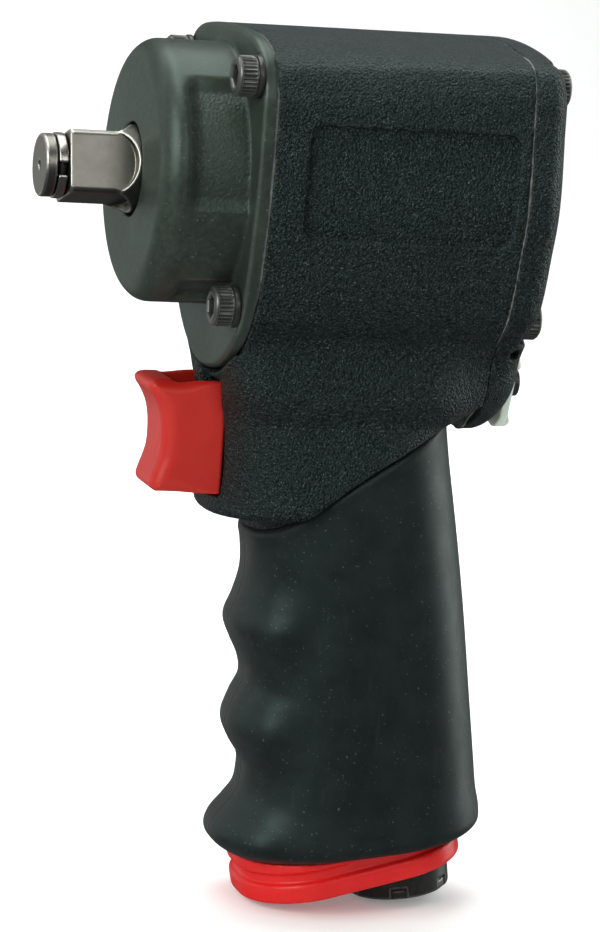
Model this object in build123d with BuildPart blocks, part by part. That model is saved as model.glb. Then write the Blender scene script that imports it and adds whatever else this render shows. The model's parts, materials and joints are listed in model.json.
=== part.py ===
from build123d import *
import os
from math import cos, sin, tan, radians, sqrt

# Short pistol-grip air impact wrench, half-inch square drive.
# Frame: origin on the spindle axis at the housing's front face.
# +X forward along the anvil, +Y the tool's left side, +Z up.  Millimetres.

# ---------------------------------------------------------------- driving dimensions
SQUARE = 12.65            # half-inch male square, across flats
SQUARE_ROLL = 17.0        # roll of the square about the spindle at rest
COLLAR_R = 8.65           # round anvil shank where it leaves the case
NOSE_X = 38.9             # front end of the anvil
GROOVE_X0, GROOVE_X1 = 34.2, 36.6

CASE_FACE_X = 20.5        # front face of the hammer case
CASE_R = 26.0
CASE_BORE_R = 22.3
FLANGE_X0, FLANGE_X1 = 0.5, 3.0
GASKET_T = 0.5

SEAM_X = -51.5            # rear face of the housing
COVER_X0 = SEAM_X - GASKET_T
COVER_X1 = -58.8

MOTOR_BORE_R = 23.6
MOTOR_SHOULDER_X = -13.2
CYL_BORE_R = 19.5
CYL_OFFSET = 1.6          # eccentricity of the cylinder bore, upwards
ROTOR_R = 17.8

CASE_SCREWS = [(24.5, 21.2), (-24.5, 21.2), (20.0, -23.7), (-20.0, -23.7)]
COVER_SCREWS = [(22.4, 21.9), (-22.4, 21.9), (17.8, -24.6), (-17.8, -24.6)]
HEAD_R = 3.95
SCREW_R = 2.45
WASHER_R = 4.3

INLET_TILT = 9.0          # lean of the inlet axis from vertical
INLET_X, INLET_Z = -47.5, -146.2
INLET_MINOR_R = 5.7       # quarter-inch pipe thread, minor radius
INLET_THREAD_L = 12.0

ROD_Z = -52.0             # trigger rod height
TRIGGER_TRAVEL = 5.0
TRIGGER_HW = 8.0

VALVE_Z = -40.0           # reverse valve axis height
VALVE_R = 6.9

GRIP_WALL = 3.0
GRIP_BOTTOM_TILT = 7.5
BASE_TILT = 13.5

os.makedirs("parts", exist_ok=True)

ct, st = cos(radians(INLET_TILT)), sin(radians(INLET_TILT))
inlet_plane = Plane(origin=(INLET_X, 0, INLET_Z), x_dir=(ct, 0, -st), z_dir=(st, 0, ct))


def inlet_at(s):
    return inlet_plane.offset(s)


def save(builder, name):
    builder.part.label = name
    export_step(builder.part, "parts/" + name + ".step")


# half outlines across the tool, (y, z) from the top centre down the left side
FRONT_OUTLINE = [(0, 29.4), (11, 29.1), (20.5, 27.6), (26.0, 24.2), (29.0, 18.4), (29.2, 12.0),
                 (29.3, 6.4), (28.6, -5.6), (27.6, -12.0), (25.3, -21.6), (19.3, -29.1),
                 (7.8, -35.9), (0, -38.6)]
REAR_OUTLINE = [(0, 30.0), (10, 29.5), (20, 28.0), (27.5, 25.6), (29.6, 21.1), (30.2, 14.3),
                (31.2, 0.9), (30.6, -5.1), (29.0, -11.2), (26.8, -19.5), (24.2, -25.2),
                (19.8, -30.2), (17.0, -34.4), (15.9, -39.0), (13.0, -43.2), (7.2, -47.4), (0, -49.9)]


def half_outline_face(x, pts, scale_by=1.0):
    """Closed symmetric section in the plane X = x."""
    with BuildSketch(Plane.YZ.offset(x)) as sk:
        with BuildLine():
            Spline([(y * scale_by, z * scale_by) for y, z in pts], tangents=[(1, 0), (-1, 0)])
            mirror(about=Plane.YZ)
        make_face()
    return sk.sketch


front_section = half_outline_face(0, FRONT_OUTLINE)
rear_section = half_outline_face(SEAM_X, REAR_OUTLINE)
flange_section = half_outline_face(FLANGE_X0, FRONT_OUTLINE)
front_gasket_section = half_outline_face(0.01, FRONT_OUTLINE, 0.992)
rear_gasket_section = half_outline_face(COVER_X0 + 0.01, REAR_OUTLINE, 0.992)
cover_section = half_outline_face(COVER_X0, REAR_OUTLINE)

# trigger body and handle, horizontal sections (z, front x, rear x, half width)
BODY = [(-26, -1.5, -49.5, 16.5), (-38, 0.4, -50.5, 19.3), (-50, 1.2, -50.0, 19.0), (-59, 1.7, -51.0, 19.5),
        (-70, 2.6, -52.6, 20.0)]
GRIP = [(-46, -8.8, -48.0, 19.0), (-58, -9.0, -50.0, 19.4), (-71, -9.4, -52.6, 19.8), (-80, -10.6, -54.3, 19.8),
        (-90.8, -8.0, -56.2, 19.8), (-102.7, -12.1, -58.1, 19.6), (-111.9, -9.1, -59.6, 19.7),
        (-124.0, -13.3, -61.5, 19.7), (-134.6, -7.3, -62.6, 20.2), (-139.5, -9.8, -60.4, 19.3),
        (-146, -16.0, -55.0, 16.0)]


def horizontal_loft(rows, inset=0.0, round_f=0.82):
    with BuildPart() as body:
        for z, xf, xr, hw in rows:
            xf, xr, hw = xf - inset, xr + inset, hw - inset
            with BuildSketch(Plane.XY.offset(z)):
                with Locations(((xf + xr) / 2, 0)):
                    RectangleRounded(xf - xr, 2 * hw, hw * round_f)
        loft()
    return body.part


body_block = horizontal_loft(BODY)
grip_block = horizontal_loft(GRIP, 0.0, 0.96)
core_block = horizontal_loft(GRIP, GRIP_WALL, 0.96)
core_clear = horizontal_loft(GRIP, GRIP_WALL - 0.04, 0.96)

# slanted edge where the rubber starts: from the chin up to the back of the tool
grip_top = Plane(origin=(-25.0, 0, -59.4), x_dir=(1, 0, -0.70), z_dir=(0.70, 0, 1))
chin = Plane(origin=(1.2, 0, -69.2), x_dir=(1, 0, 0.06), z_dir=(-0.06, 0, 1))
gb = radians(GRIP_BOTTOM_TILT)
grip_bottom = Plane(origin=(-26.2, 0, -137.1), x_dir=(cos(gb), 0, -sin(gb)), z_dir=(sin(gb), 0, cos(gb)))
bt = radians(BASE_TILT)
base_plane = Plane(origin=(-27.4, 0, -144.7), x_dir=(cos(bt), 0, -sin(bt)), z_dir=(sin(bt), 0, cos(bt)))

# air passages from the reverse valve up to the motor bore
port_planes = [Plane(origin=(-38.0, 0, VALVE_Z), x_dir=(1, 0, 0), z_dir=(0, s * 0.47, 0.883)) for s in (1, -1)]

with BuildPart() as barrel_block:
    add(front_section)
    add(rear_section)
    loft()

# ---------------------------------------------------------------- motor housing
with BuildPart() as motor_housing:
    add(barrel_block.part)
    add(split(split(body_block, bisect_by=chin, keep=Keep.TOP, mode=Mode.PRIVATE),
              bisect_by=grip_top, keep=Keep.TOP, mode=Mode.PRIVATE))
    add(split(grip_block, bisect_by=grip_top, keep=Keep.TOP, mode=Mode.PRIVATE))
    add(split(core_block, bisect_by=grip_bottom, keep=Keep.TOP, mode=Mode.PRIVATE))
    # anything of the trigger body standing ahead of or behind the seam planes is faced off
    with BuildSketch(Plane.XZ.offset(-40)):
        with Locations((SEAM_X - 20, -5)):
            Rectangle(40, 92)
        with Locations((10, 0.3)):
            Rectangle(20, 79)
    extrude(amount=80, mode=Mode.SUBTRACT)
    # motor bore from the rear and hammer bore from the front
    with BuildSketch(Plane.YZ.offset(SEAM_X)):
        Circle(MOTOR_BORE_R)
    extrude(amount=MOTOR_SHOULDER_X - SEAM_X, mode=Mode.SUBTRACT)
    with BuildSketch(Plane.YZ.offset(MOTOR_SHOULDER_X)):
        Circle(CASE_BORE_R)
    extrude(amount=-MOTOR_SHOULDER_X, mode=Mode.SUBTRACT)
    # exhaust collecting groove round the cylinder
    with BuildSketch(Plane.YZ.offset(-29.5)):
        Circle(25.4)
    extrude(amount=6.0, mode=Mode.SUBTRACT)
    # screw holes, front and rear
    with BuildSketch(Plane.YZ.offset(-15.0)):
        with Locations(*CASE_SCREWS):
            Circle(SCREW_R + 0.05)
    extrude(amount=20, mode=Mode.SUBTRACT)
    with BuildSketch(Plane.YZ.offset(SEAM_X - 1)):
        with Locations(*COVER_SCREWS):
            Circle(SCREW_R + 0.05)
    extrude(amount=15.5, mode=Mode.SUBTRACT)
    # reverse valve bore
    with BuildSketch(Plane.YZ.offset(SEAM_X - 1)):
        with Locations((0, VALVE_Z)):
            Circle(VALVE_R + 0.05)
    extrude(amount=23.5, mode=Mode.SUBTRACT)
    for pl in port_planes:
        with BuildSketch(pl):
            Circle(2.8)
        extrude(amount=19.5, mode=Mode.SUBTRACT)
    # inlet chamber, threaded seat for the inlet bushing, port to the reverse valve
    with BuildSketch(inlet_at(-2)):
        Circle(8.55)
    extrude(amount=30.1, mode=Mode.SUBTRACT)
    with BuildSketch(inlet_at(-2)):
        Circle(10.6)
    extrude(amount=16.0, mode=Mode.SUBTRACT)
    with BuildSketch(inlet_at(28)):
        Circle(6.8)
    extrude(amount=72, mode=Mode.SUBTRACT)
    with BuildSketch(Plane.XY.offset(-50)):
        with Locations((-32.2, 0)):
            Circle(4.0)
    extrude(amount=6, mode=Mode.SUBTRACT)
    # exhaust passages down the handle
    with BuildSketch(Plane.XY.offset(-150)):
        with Locations((-29.0, 11.3), (-29.0, -11.3)):
            Circle(3.4)
    extrude(amount=130, mode=Mode.SUBTRACT)
    # trigger pocket and rod bore
    with BuildSketch(Plane.YZ.offset(-7.0)):
        with Locations((0, -52.1)):
            RectangleRounded(2 * TRIGGER_HW + 0.5, 22.6, 0.4)
    extrude(amount=12, mode=Mode.SUBTRACT)
    with BuildSketch(Plane.YZ.offset(-19.3)):
        with Locations((0, ROD_Z)):
            Circle(4.0)
    extrude(amount=14, mode=Mode.SUBTRACT)
    with BuildSketch(Plane.YZ.offset(-30)):
        with Locations((0, ROD_Z)):
            Circle(2.2)
    extrude(amount=14, mode=Mode.SUBTRACT)
    # shallow panel recess on both sides
    for s in (1, -1):
        with BuildSketch(Plane.XZ.offset(-s * 30.1)):
            with Locations((-27.0, 2.0)):
                RectangleRounded(40, 22, 2.5)
        extrude(amount=-s * 4, mode=Mode.SUBTRACT)
    # stop rib over the trigger channel
    with BuildSketch(Plane.XY.offset(-42.2)):
        with Locations((0.6, 0)):
            Rectangle(5.2, 3.4)
    extrude(amount=2.9)
save(motor_housing, "motor_housing")

# ---------------------------------------------------------------- hammer case
with BuildPart() as hammer_case:
    with BuildSketch(Plane.XZ):
        with BuildLine():
            Polyline((FLANGE_X0, CASE_BORE_R), (FLANGE_X0, CASE_R), (CASE_FACE_X - 0.5, CASE_R),
                     (CASE_FACE_X, 21.0), (CASE_FACE_X, 9.3), (18.5, 9.3), (18.5, 11.02), (10.6, 11.02),
                     (10.6, CASE_BORE_R), close=True)
        make_face()
    revolve(axis=Axis.X)
    outer_rim = hammer_case.edges().filter_by(GeomType.CIRCLE).filter_by(
        lambda e: abs(e.radius - CASE_R) < 0.01 and e.center().X > 15)
    fillet(outer_rim, radius=4.4)
    add(flange_section)
    extrude(amount=FLANGE_X1 - FLANGE_X0, dir=(1, 0, 0))
    with BuildSketch(Plane.YZ.offset(FLANGE_X0 - 1)):
        Circle(CASE_BORE_R)
    extrude(amount=11.1, mode=Mode.SUBTRACT)
    with BuildSketch(Plane.YZ.offset(FLANGE_X0 - 1)):
        with Locations(*CASE_SCREWS):
            Circle(SCREW_R + 0.08)
    extrude(amount=8, mode=Mode.SUBTRACT)
    # shallow cast recess on both cheeks
    for s in (1, -1):
        with BuildSketch(Plane.YZ.offset(4.6)):
            Circle(28)
            Circle(24.6, mode=Mode.SUBTRACT)
            with Locations((s * 25, 6.0)):
                Rectangle(22, 23, mode=Mode.INTERSECT)
        extrude(amount=11.4, mode=Mode.SUBTRACT)
save(hammer_case, "hammer_case")

with BuildPart() as case_gasket:
    add(front_gasket_section)
    extrude(amount=GASKET_T - 0.02, dir=(1, 0, 0))
    with BuildSketch(Plane.YZ.offset(-1)):
        Circle(CASE_BORE_R + 0.3)
        with Locations(*CASE_SCREWS):
            Circle(SCREW_R + 0.2)
    extrude(amount=3, mode=Mode.SUBTRACT)
save(case_gasket, "case_gasket")


def cap_screw(x_head, direction, seat_len, shank_len, centres):
    """Socket-head screws along X; head outwards in the given direction."""
    d = direction
    with BuildPart() as screw:
        for y, z in centres:
            with BuildSketch(Plane.YZ.offset(x_head)):
                with Locations((y, z)):
                    Circle(HEAD_R)
            extrude(amount=-d * seat_len)
            with BuildSketch(Plane.YZ.offset(x_head - d * seat_len)):
                with Locations((y, z)):
                    Circle(SCREW_R)
            extrude(amount=-d * shank_len)
        rims = screw.edges().filter_by(GeomType.CIRCLE).filter_by(
            lambda e: abs(e.radius - HEAD_R) < 0.01 and abs(e.center().X - x_head) < 0.01)
        fillet(rims, radius=0.5)
        with BuildSketch(Plane.YZ.offset(x_head)):
            with Locations(*centres):
                RegularPolygon(4.05 / 2, 6, major_radius=False)
        extrude(amount=-d * 2.5, mode=Mode.SUBTRACT)
    return screw


def washers(x0, thick, centres):
    with BuildPart() as w:
        with BuildSketch(Plane.YZ.offset(x0)):
            with Locations(*centres):
                Circle(WASHER_R)
                Circle(SCREW_R + 0.1, mode=Mode.SUBTRACT)
        extrude(amount=thick)
    return w


case_screws = cap_screw(8.0, 1, 3.9, 18.4, CASE_SCREWS)
save(case_screws, "case_screws")
case_screw_washers = washers(3.02, 1.06, CASE_SCREWS)
save(case_screw_washers, "case_screw_washers")

# ---------------------------------------------------------------- rear cover
with BuildPart() as rear_cover:
    add(cover_section)
    extrude(amount=COVER_X1 - COVER_X0, dir=(1, 0, 0))
    rear_rim = rear_cover.faces().sort_by(Axis.X)[0].edges()
    fillet(rear_rim, radius=3.6)
    with BuildSketch(Plane.YZ.offset(COVER_X0 + 1)):
        Circle(MOTOR_BORE_R)
    extrude(amount=-5.8, mode=Mode.SUBTRACT)
    # corner pockets for the screw heads, open to the outside
    for y, z in COVER_SCREWS:
        with BuildSketch(Plane.YZ.offset(-56.4)):
            with Locations((y, z)):
                Circle(4.9)
        extrude(amount=-6, mode=Mode.SUBTRACT)
    with BuildSketch(Plane.YZ.offset(COVER_X0 + 1)):
        with Locations(*COVER_SCREWS):
            Circle(SCREW_R + 0.08)
    extrude(amount=-7, mode=Mode.SUBTRACT)
    # stem hole for the reverse valve and the detent hole beside it
    with BuildSketch(Plane.YZ.offset(COVER_X0 + 1)):
        with Locations((0, VALVE_Z)):
            Circle(3.08)
    extrude(amount=-12, mode=Mode.SUBTRACT)
    with BuildSketch(Plane.YZ.offset(COVER_X0 + 1)):
        with Locations((0, VALVE_Z + 4.8)):
            Circle(1.28)
    extrude(amount=-6, mode=Mode.SUBTRACT)
save(rear_cover, "rear_cover")

with BuildPart() as rear_gasket:
    add(rear_gasket_section)
    extrude(amount=GASKET_T - 0.02, dir=(1, 0, 0))
    with BuildSketch(Plane.YZ.offset(COVER_X0 - 1)):
        Circle(MOTOR_BORE_R + 0.3)
        with Locations(*COVER_SCREWS):
            Circle(SCREW_R + 0.2)
        with Locations((0, VALVE_Z)):
            Circle(VALVE_R + 0.1)
    extrude(amount=3, mode=Mode.SUBTRACT)
save(rear_gasket, "rear_gasket")

rear_cover_screws = cap_screw(-60.6, -1, 3.2, 18.0, COVER_SCREWS)
save(rear_cover_screws, "rear_cover_screws")
rear_cover_washers = washers(-57.36, 0.94, COVER_SCREWS)
save(rear_cover_washers, "rear_cover_washers")

# ---------------------------------------------------------------- anvil and socket retainer
with BuildPart() as anvil:
    with BuildSketch(Plane.XZ):
        with BuildLine():
            Polyline((-8.1, 0), (-8.1, 8.2), (5.6, 8.2), (5.6, COLLAR_R), (21.4, COLLAR_R), (24.4, 6.2),
                     (GROOVE_X0, 6.2), (GROOVE_X0, 3.6), (GROOVE_X1, 3.6), (GROOVE_X1, 6.2),
                     (NOSE_X, 6.2), (NOSE_X, 0), close=True)
        make_face()
    revolve(axis=Axis.X)
    nose_edge = anvil.edges().filter_by(GeomType.CIRCLE).sort_by(Axis.X)[-1]
    chamfer(nose_edge, length=0.5)
    square_plane = Plane(origin=(15, 0, 0), x_dir=(0, cos(radians(SQUARE_ROLL)), sin(radians(SQUARE_ROLL))),
                         z_dir=(1, 0, 0))
    with BuildSketch(square_plane):
        RectangleRounded(SQUARE, SQUARE, 1.15)
    extrude(amount=GROOVE_X0 - 15)
    # striking lugs, one for each hammer dog
    with BuildSketch(Plane.YZ.offset(-0.9)):
        Circle(10.4)
        with Locations((10, 0)):
            Rectangle(20, 7.4, mode=Mode.INTERSECT)
    extrude(amount=6.1)
    with BuildSketch(Plane.YZ.offset(-8.0)):
        Circle(10.4)
        with Locations((-10, 0)):
            Rectangle(20, 7.4, mode=Mode.INTERSECT)
    extrude(amount=6.1)
    with BuildSketch(Plane.YZ.offset(NOSE_X)):
        Circle(0.8)
    extrude(amount=-2.0, mode=Mode.SUBTRACT)
save(anvil, "anvil")

with BuildPart() as friction_ring:
    with BuildSketch(Plane.YZ.offset(34.5)):
        Circle(6.45)
        Circle(5.15, mode=Mode.SUBTRACT)
        with Locations((6, 0)):
            Rectangle(6, 2.4, mode=Mode.SUBTRACT)
    extrude(amount=1.8)
save(friction_ring, "friction_ring")

with BuildPart() as friction_o_ring:
    with BuildSketch(Plane.XZ):
        with Locations(((GROOVE_X0 + GROOVE_X1) / 2, 4.36)):
            Circle(0.72)
    revolve(axis=Axis.X)
save(friction_o_ring, "friction_o_ring")

with BuildPart() as anvil_bushing:
    with BuildSketch(Plane.YZ.offset(10.7)):
        Circle(11.0)
        Circle(8.7, mode=Mode.SUBTRACT)
    extrude(amount=7.7)
save(anvil_bushing, "anvil_bushing")

with BuildPart() as thrust_washer:
    with BuildSketch(Plane.YZ.offset(9.72)):
        Circle(19.6)
        Circle(9.2, mode=Mode.SUBTRACT)
    extrude(amount=0.84)
save(thrust_washer, "thrust_washer")

# ---------------------------------------------------------------- twin-hammer mechanism
PIN_R, PIN_RAD = 2.5, 17.2
with BuildPart() as hammer_cage:
    for x0, x1, hole in ((-12.6, -8.6, 0.0), (6.0, 9.6, 9.0)):
        with BuildSketch(Plane.YZ.offset(x0)):
            Circle(20.8)
            if hole:
                Circle(hole, mode=Mode.SUBTRACT)
        extrude(amount=x1 - x0)
    with BuildSketch(Plane.YZ.offset(-8.6)):
        Circle(20.8)
        Circle(18.3, mode=Mode.SUBTRACT)
        Rectangle(50, 11, mode=Mode.INTERSECT)
    extrude(amount=14.6)
    with BuildSketch(Plane.YZ.offset(-13)):
        Circle(5.08)
        with PolarLocations(5.0, 8):
            Rectangle(1.76, 1.6)
    extrude(amount=5, mode=Mode.SUBTRACT)
    with BuildSketch(Plane.YZ.offset(-13)):
        with Locations((0, PIN_RAD), (0, -PIN_RAD)):
            Circle(PIN_R + 0.04)
    extrude(amount=24, mode=Mode.SUBTRACT)
save(hammer_cage, "hammer_cage")

with BuildPart() as hammer_pins:
    with BuildSketch(Plane.YZ.offset(-12.5)):
        with Locations((0, PIN_RAD), (0, -PIN_RAD)):
            Circle(PIN_R)
    extrude(amount=22.0)
save(hammer_pins, "hammer_pins")


def hammer_dog(x0, up, jaw_side):
    """Ring hammer hung on one pin, with an open notch over the other pin."""
    with BuildPart() as dog:
        with BuildSketch(Plane.YZ.offset(x0)):
            Circle(20.5)
            Rectangle(30.6, 60, mode=Mode.INTERSECT)
            Circle(12.2, mode=Mode.SUBTRACT)
            with Locations((0, up * PIN_RAD)):
                Circle(PIN_R + 0.05, mode=Mode.SUBTRACT)
            with Locations((0, -up * 19.6)):
                Rectangle(10.6, 10.0, mode=Mode.SUBTRACT)
        extrude(amount=6.5)
        with BuildSketch(Plane.YZ.offset(x0)):
            Circle(12.6)
            Circle(9.7, mode=Mode.SUBTRACT)
            with Locations((jaw_side * 10, 0)):
                Rectangle(20, 6.0, mode=Mode.INTERSECT)
        extrude(amount=6.5)
    return dog


hammer_dog_front = hammer_dog(-1.1, 1, -1)
save(hammer_dog_front, "hammer_dog_front")
hammer_dog_rear = hammer_dog(-8.2, -1, 1)
save(hammer_dog_rear, "hammer_dog_rear")

# ---------------------------------------------------------------- air motor
with BuildPart() as rotor:
    with BuildSketch(Plane.YZ.offset(-48.6)):
        Circle(ROTOR_R)
    extrude(amount=27.3)
    with BuildSketch(Plane.YZ.offset(-48.6)):
        with PolarLocations((9.0 + 18.5) / 2, 6):
            Rectangle(9.5, 2.2)
    extrude(amount=27.3, mode=Mode.SUBTRACT)
    with BuildSketch(Plane.YZ.offset(-48.6)):
        Circle(3.99)
    extrude(amount=-7.9)
    with BuildSketch(Plane.YZ.offset(-21.3)):
        Circle(5.98)
    extrude(amount=8.2)
    with BuildSketch(Plane.YZ.offset(-13.1)):
        Circle(5.0)
        with PolarLocations(4.9, 8):
            Rectangle(1.6, 1.6)
    extrude(amount=4.4)
save(rotor, "rotor")

with BuildPart() as rotor_vanes:
    with BuildSketch(Plane.YZ.offset(-48.4)):
        with PolarLocations((9.3 + 17.6) / 2, 6):
            Rectangle(8.3, 2.05)
    extrude(amount=26.9)
save(rotor_vanes, "rotor_vanes")

with BuildPart() as motor_cylinder:
    with BuildSketch(Plane.YZ.offset(-48.68)):
        Circle(MOTOR_BORE_R - 0.05)
        with Locations((0, CYL_OFFSET)):
            Circle(CYL_BORE_R, mode=Mode.SUBTRACT)
        with Locations((0, -20.7)):
            Circle(1.3, mode=Mode.SUBTRACT)
    extrude(amount=27.46)
    for pl in port_planes:
        with BuildSketch(pl.offset(12)):
            Circle(2.8)
        extrude(amount=16, mode=Mode.SUBTRACT)
    with BuildSketch(Plane.XY.offset(15)):
        with Locations((-26.5, 5), (-26.5, -5), (-26.5, 0)):
            Rectangle(4.4, 3.2)
    extrude(amount=12, mode=Mode.SUBTRACT)
save(motor_cylinder, "motor_cylinder")

with BuildPart() as cylinder_dowel_pin:
    with BuildSketch(Plane.YZ.offset(-55.5)):
        with Locations((0, -20.7)):
            Circle(1.25)
    extrude(amount=41.0)
save(cylinder_dowel_pin, "cylinder_dowel_pin")

with BuildPart() as front_end_plate:
    with BuildSketch(Plane.YZ.offset(-21.2)):
        Circle(MOTOR_BORE_R - 0.05)
        Circle(6.6, mode=Mode.SUBTRACT)
        with Locations((0, -20.7)):
            Circle(1.3, mode=Mode.SUBTRACT)
    extrude(amount=7.95)
    with BuildSketch(Plane.YZ.offset(-19.2)):
        Circle(12.02)
    extrude(amount=7, mode=Mode.SUBTRACT)
save(front_end_plate, "front_end_plate")

with BuildPart() as rear_end_plate:
    with BuildSketch(Plane.YZ.offset(-56.75)):
        Circle(MOTOR_BORE_R - 0.05)
        Circle(4.6, mode=Mode.SUBTRACT)
        with Locations((0, -20.7)):
            Circle(1.3, mode=Mode.SUBTRACT)
    extrude(amount=8.05)
    with BuildSketch(Plane.YZ.offset(-50.7)):
        Circle(9.52)
    extrude(amount=-7, mode=Mode.SUBTRACT)
save(rear_end_plate, "rear_end_plate")


def bearing_race(x0, width, r0, r1, ball_pitch, ball_r):
    with BuildPart() as race:
        with BuildSketch(Plane.XZ):
            with Locations((x0 + width / 2, (r0 + r1) / 2)):
                Rectangle(width, r1 - r0)
            with Locations((x0 + width / 2, ball_pitch)):
                Circle(ball_r + 0.05, mode=Mode.SUBTRACT)
        revolve(axis=Axis.X)
    return race


def bearing_balls(x, pitch, r, count):
    with BuildPart() as balls:
        for i in range(count):
            a = radians(360 / count * i)
            with Locations((x, pitch * cos(a), pitch * sin(a))):
                Sphere(r)
    return balls


front_bearing_outer = bearing_race(-19.15, 5.9, 10.2, 12.0, 9.0, 1.9)
save(front_bearing_outer, "front_bearing_outer_race")
front_bearing_inner = bearing_race(-19.15, 5.9, 6.0, 7.8, 9.0, 1.9)
save(front_bearing_inner, "front_bearing_inner_race")
front_bearing_balls = bearing_balls(-16.2, 9.0, 1.9, 9)
save(front_bearing_balls, "front_bearing_balls")
rear_bearing_outer = bearing_race(-56.7, 5.9, 7.7, 9.5, 6.75, 1.6)
save(rear_bearing_outer, "rear_bearing_outer_race")
rear_bearing_inner = bearing_race(-56.7, 5.9, 4.01, 5.8, 6.75, 1.6)
save(rear_bearing_inner, "rear_bearing_inner_race")
rear_bearing_balls = bearing_balls(-53.75, 6.75, 1.6, 8)
save(rear_bearing_balls, "rear_bearing_balls")

# ---------------------------------------------------------------- reverse valve and knob
with BuildPart() as reverse_valve:
    with BuildSketch(Plane.YZ.offset(-51.0)):
        with Locations((0, VALVE_Z)):
            Circle(VALVE_R)
    extrude(amount=21.5)
    with BuildSketch(Plane.YZ.offset(-51.0)):
        with Locations((0, VALVE_Z)):
            Circle(3.0)
    extrude(amount=-10.4)
    # cross passage that sends the air to one motor port or the other
    with BuildSketch(Plane.YZ.offset(-41.0)):
        with Locations((3.6, VALVE_Z + 4.2), (0, VALVE_Z - 4.0)):
            Rectangle(5.5, 6.5)
        with Locations((0.5, VALVE_Z)):
            Rectangle(5.0, 6.5)
    extrude(amount=12.0, mode=Mode.SUBTRACT)
    with BuildSketch(Plane.YZ.offset(-61.8)):
        with Locations((0, VALVE_Z)):
            Circle(1.5)
    extrude(amount=14, mode=Mode.SUBTRACT)
save(reverse_valve, "reverse_valve")

with BuildPart() as reverse_knob:
    knob_plane = Plane(origin=(-58.95, 0, VALVE_Z), x_dir=(0, cos(radians(-108)), sin(radians(-108))),
                       z_dir=(-1, 0, 0))
    with BuildSketch(knob_plane):
        with BuildLine():
            Polyline(*[((11.2 if i % 2 == 0 else 9.8) * cos(radians(45 * i)),
                        (11.2 if i % 2 == 0 else 9.8) * sin(radians(45 * i))) for i in range(8)], close=True)
        make_face()
        fillet(vertices(), radius=3.0)
    extrude(amount=3.6)
    fillet(reverse_knob.faces().sort_by(Axis.X)[0].edges(), radius=1.2)
    with BuildSketch(Plane.YZ.offset(-58.8)):
        with Locations((0, VALVE_Z)):
            Circle(3.02)
    extrude(amount=-2.65, mode=Mode.SUBTRACT)
    with BuildSketch(Plane.YZ.offset(-58.8)):
        with Locations((0, VALVE_Z)):
            Circle(1.6)
    extrude(amount=-6, mode=Mode.SUBTRACT)
    # two side scallops leave a finger bar across the knob
    with BuildSketch(Plane.YZ.offset(-62.6)):
        with Locations((6.6, VALVE_Z), (-6.6, VALVE_Z)):
            Circle(3.4)
    extrude(amount=1.6, mode=Mode.SUBTRACT)
save(reverse_knob, "reverse_knob")

with BuildPart() as knob_screw:
    with BuildSketch(Plane.YZ.offset(-62.6)):
        with Locations((0, VALVE_Z)):
            Circle(2.9)
    extrude(amount=-1.5)
    with BuildSketch(Plane.YZ.offset(-62.6)):
        with Locations((0, VALVE_Z)):
            Circle(1.45)
    extrude(amount=14)
    with BuildSketch(Plane.YZ.offset(-64.1)):
        with Locations((0, VALVE_Z)):
            RegularPolygon(1.25, 6, major_radius=False)
    extrude(amount=1.0, mode=Mode.SUBTRACT)
save(knob_screw, "knob_screw")

with BuildPart() as detent_ball:
    with Locations((-52.26, 0, VALVE_Z + 4.8)):
        Sphere(1.22)
save(detent_ball, "detent_ball")

with BuildPart() as detent_spring:
    with BuildLine() as coil:
        Helix(pitch=0.75, height=2.6, radius=0.95, center=(-56.5, 0, VALVE_Z + 4.8), direction=(1, 0, 0))
    with BuildSketch(Plane(origin=coil.line @ 0, z_dir=coil.line % 0)):
        Circle(0.17)
    sweep(is_frenet=True)
save(detent_spring, "detent_spring")

# ---------------------------------------------------------------- trigger and throttle
with BuildPart() as trigger:
    with BuildSketch(Plane.XZ.offset(-TRIGGER_HW)):
        with BuildLine():
            front = Spline((15.1, -42.4), (13.2, -45.8), (11.9, -50.8), (12.2, -57.0), (13.5, -61.6))
            Line((13.5, -61.6), (12.0, -63.2))
            Line((12.0, -63.2), (-0.6, -62.9))
            Line((-0.6, -62.9), (-0.6, -41.2))
            Line((-0.6, -41.2), (14.2, -41.2))
            Line((14.2, -41.2), (15.1, -42.4))
        make_face()
    extrude(amount=2 * TRIGGER_HW)
    fillet(trigger.edges().filter_by(GeomType.BSPLINE), radius=1.6)
    # open-topped channel
    with BuildSketch(Plane.XY.offset(-60.8)):
        with Locations((2.95, 0)):
            Rectangle(12.3, 2 * TRIGGER_HW - 4.0)
    extrude(amount=30, mode=Mode.SUBTRACT)
    # boss for the rod
    with BuildSketch(Plane.YZ.offset(11.0)):
        with Locations((0, ROD_Z)):
            Circle(3.6)
    extrude(amount=-6.5)
    with BuildSketch(Plane.YZ.offset(9.6)):
        with Locations((0, ROD_Z)):
            Circle(2.02)
    extrude(amount=-14, mode=Mode.SUBTRACT)
save(trigger, "trigger")

with BuildPart() as trigger_rod:
    with BuildSketch(Plane.YZ.offset(9.5)):
        with Locations((0, ROD_Z)):
            Circle(2.0)
    extrude(amount=-39.6)
    chamfer(trigger_rod.edges().filter_by(GeomType.CIRCLE).sort_by(Axis.X)[0], length=0.4)
save(trigger_rod, "trigger_rod")

with BuildPart() as rod_bushing:
    with BuildSketch(Plane.YZ.offset(-7.1)):
        with Locations((0, ROD_Z)):
            Circle(3.97)
            Circle(2.05, mode=Mode.SUBTRACT)
    extrude(amount=-10.0)
save(rod_bushing, "rod_bushing")

with BuildPart() as rod_o_ring:
    with BuildSketch(Plane.XZ):
        with Locations((-18.15, ROD_Z + 3.0)):
            Circle(0.92)
    revolve(axis=Axis((0, 0, ROD_Z), (1, 0, 0)))
save(rod_o_ring, "rod_o_ring")

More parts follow.
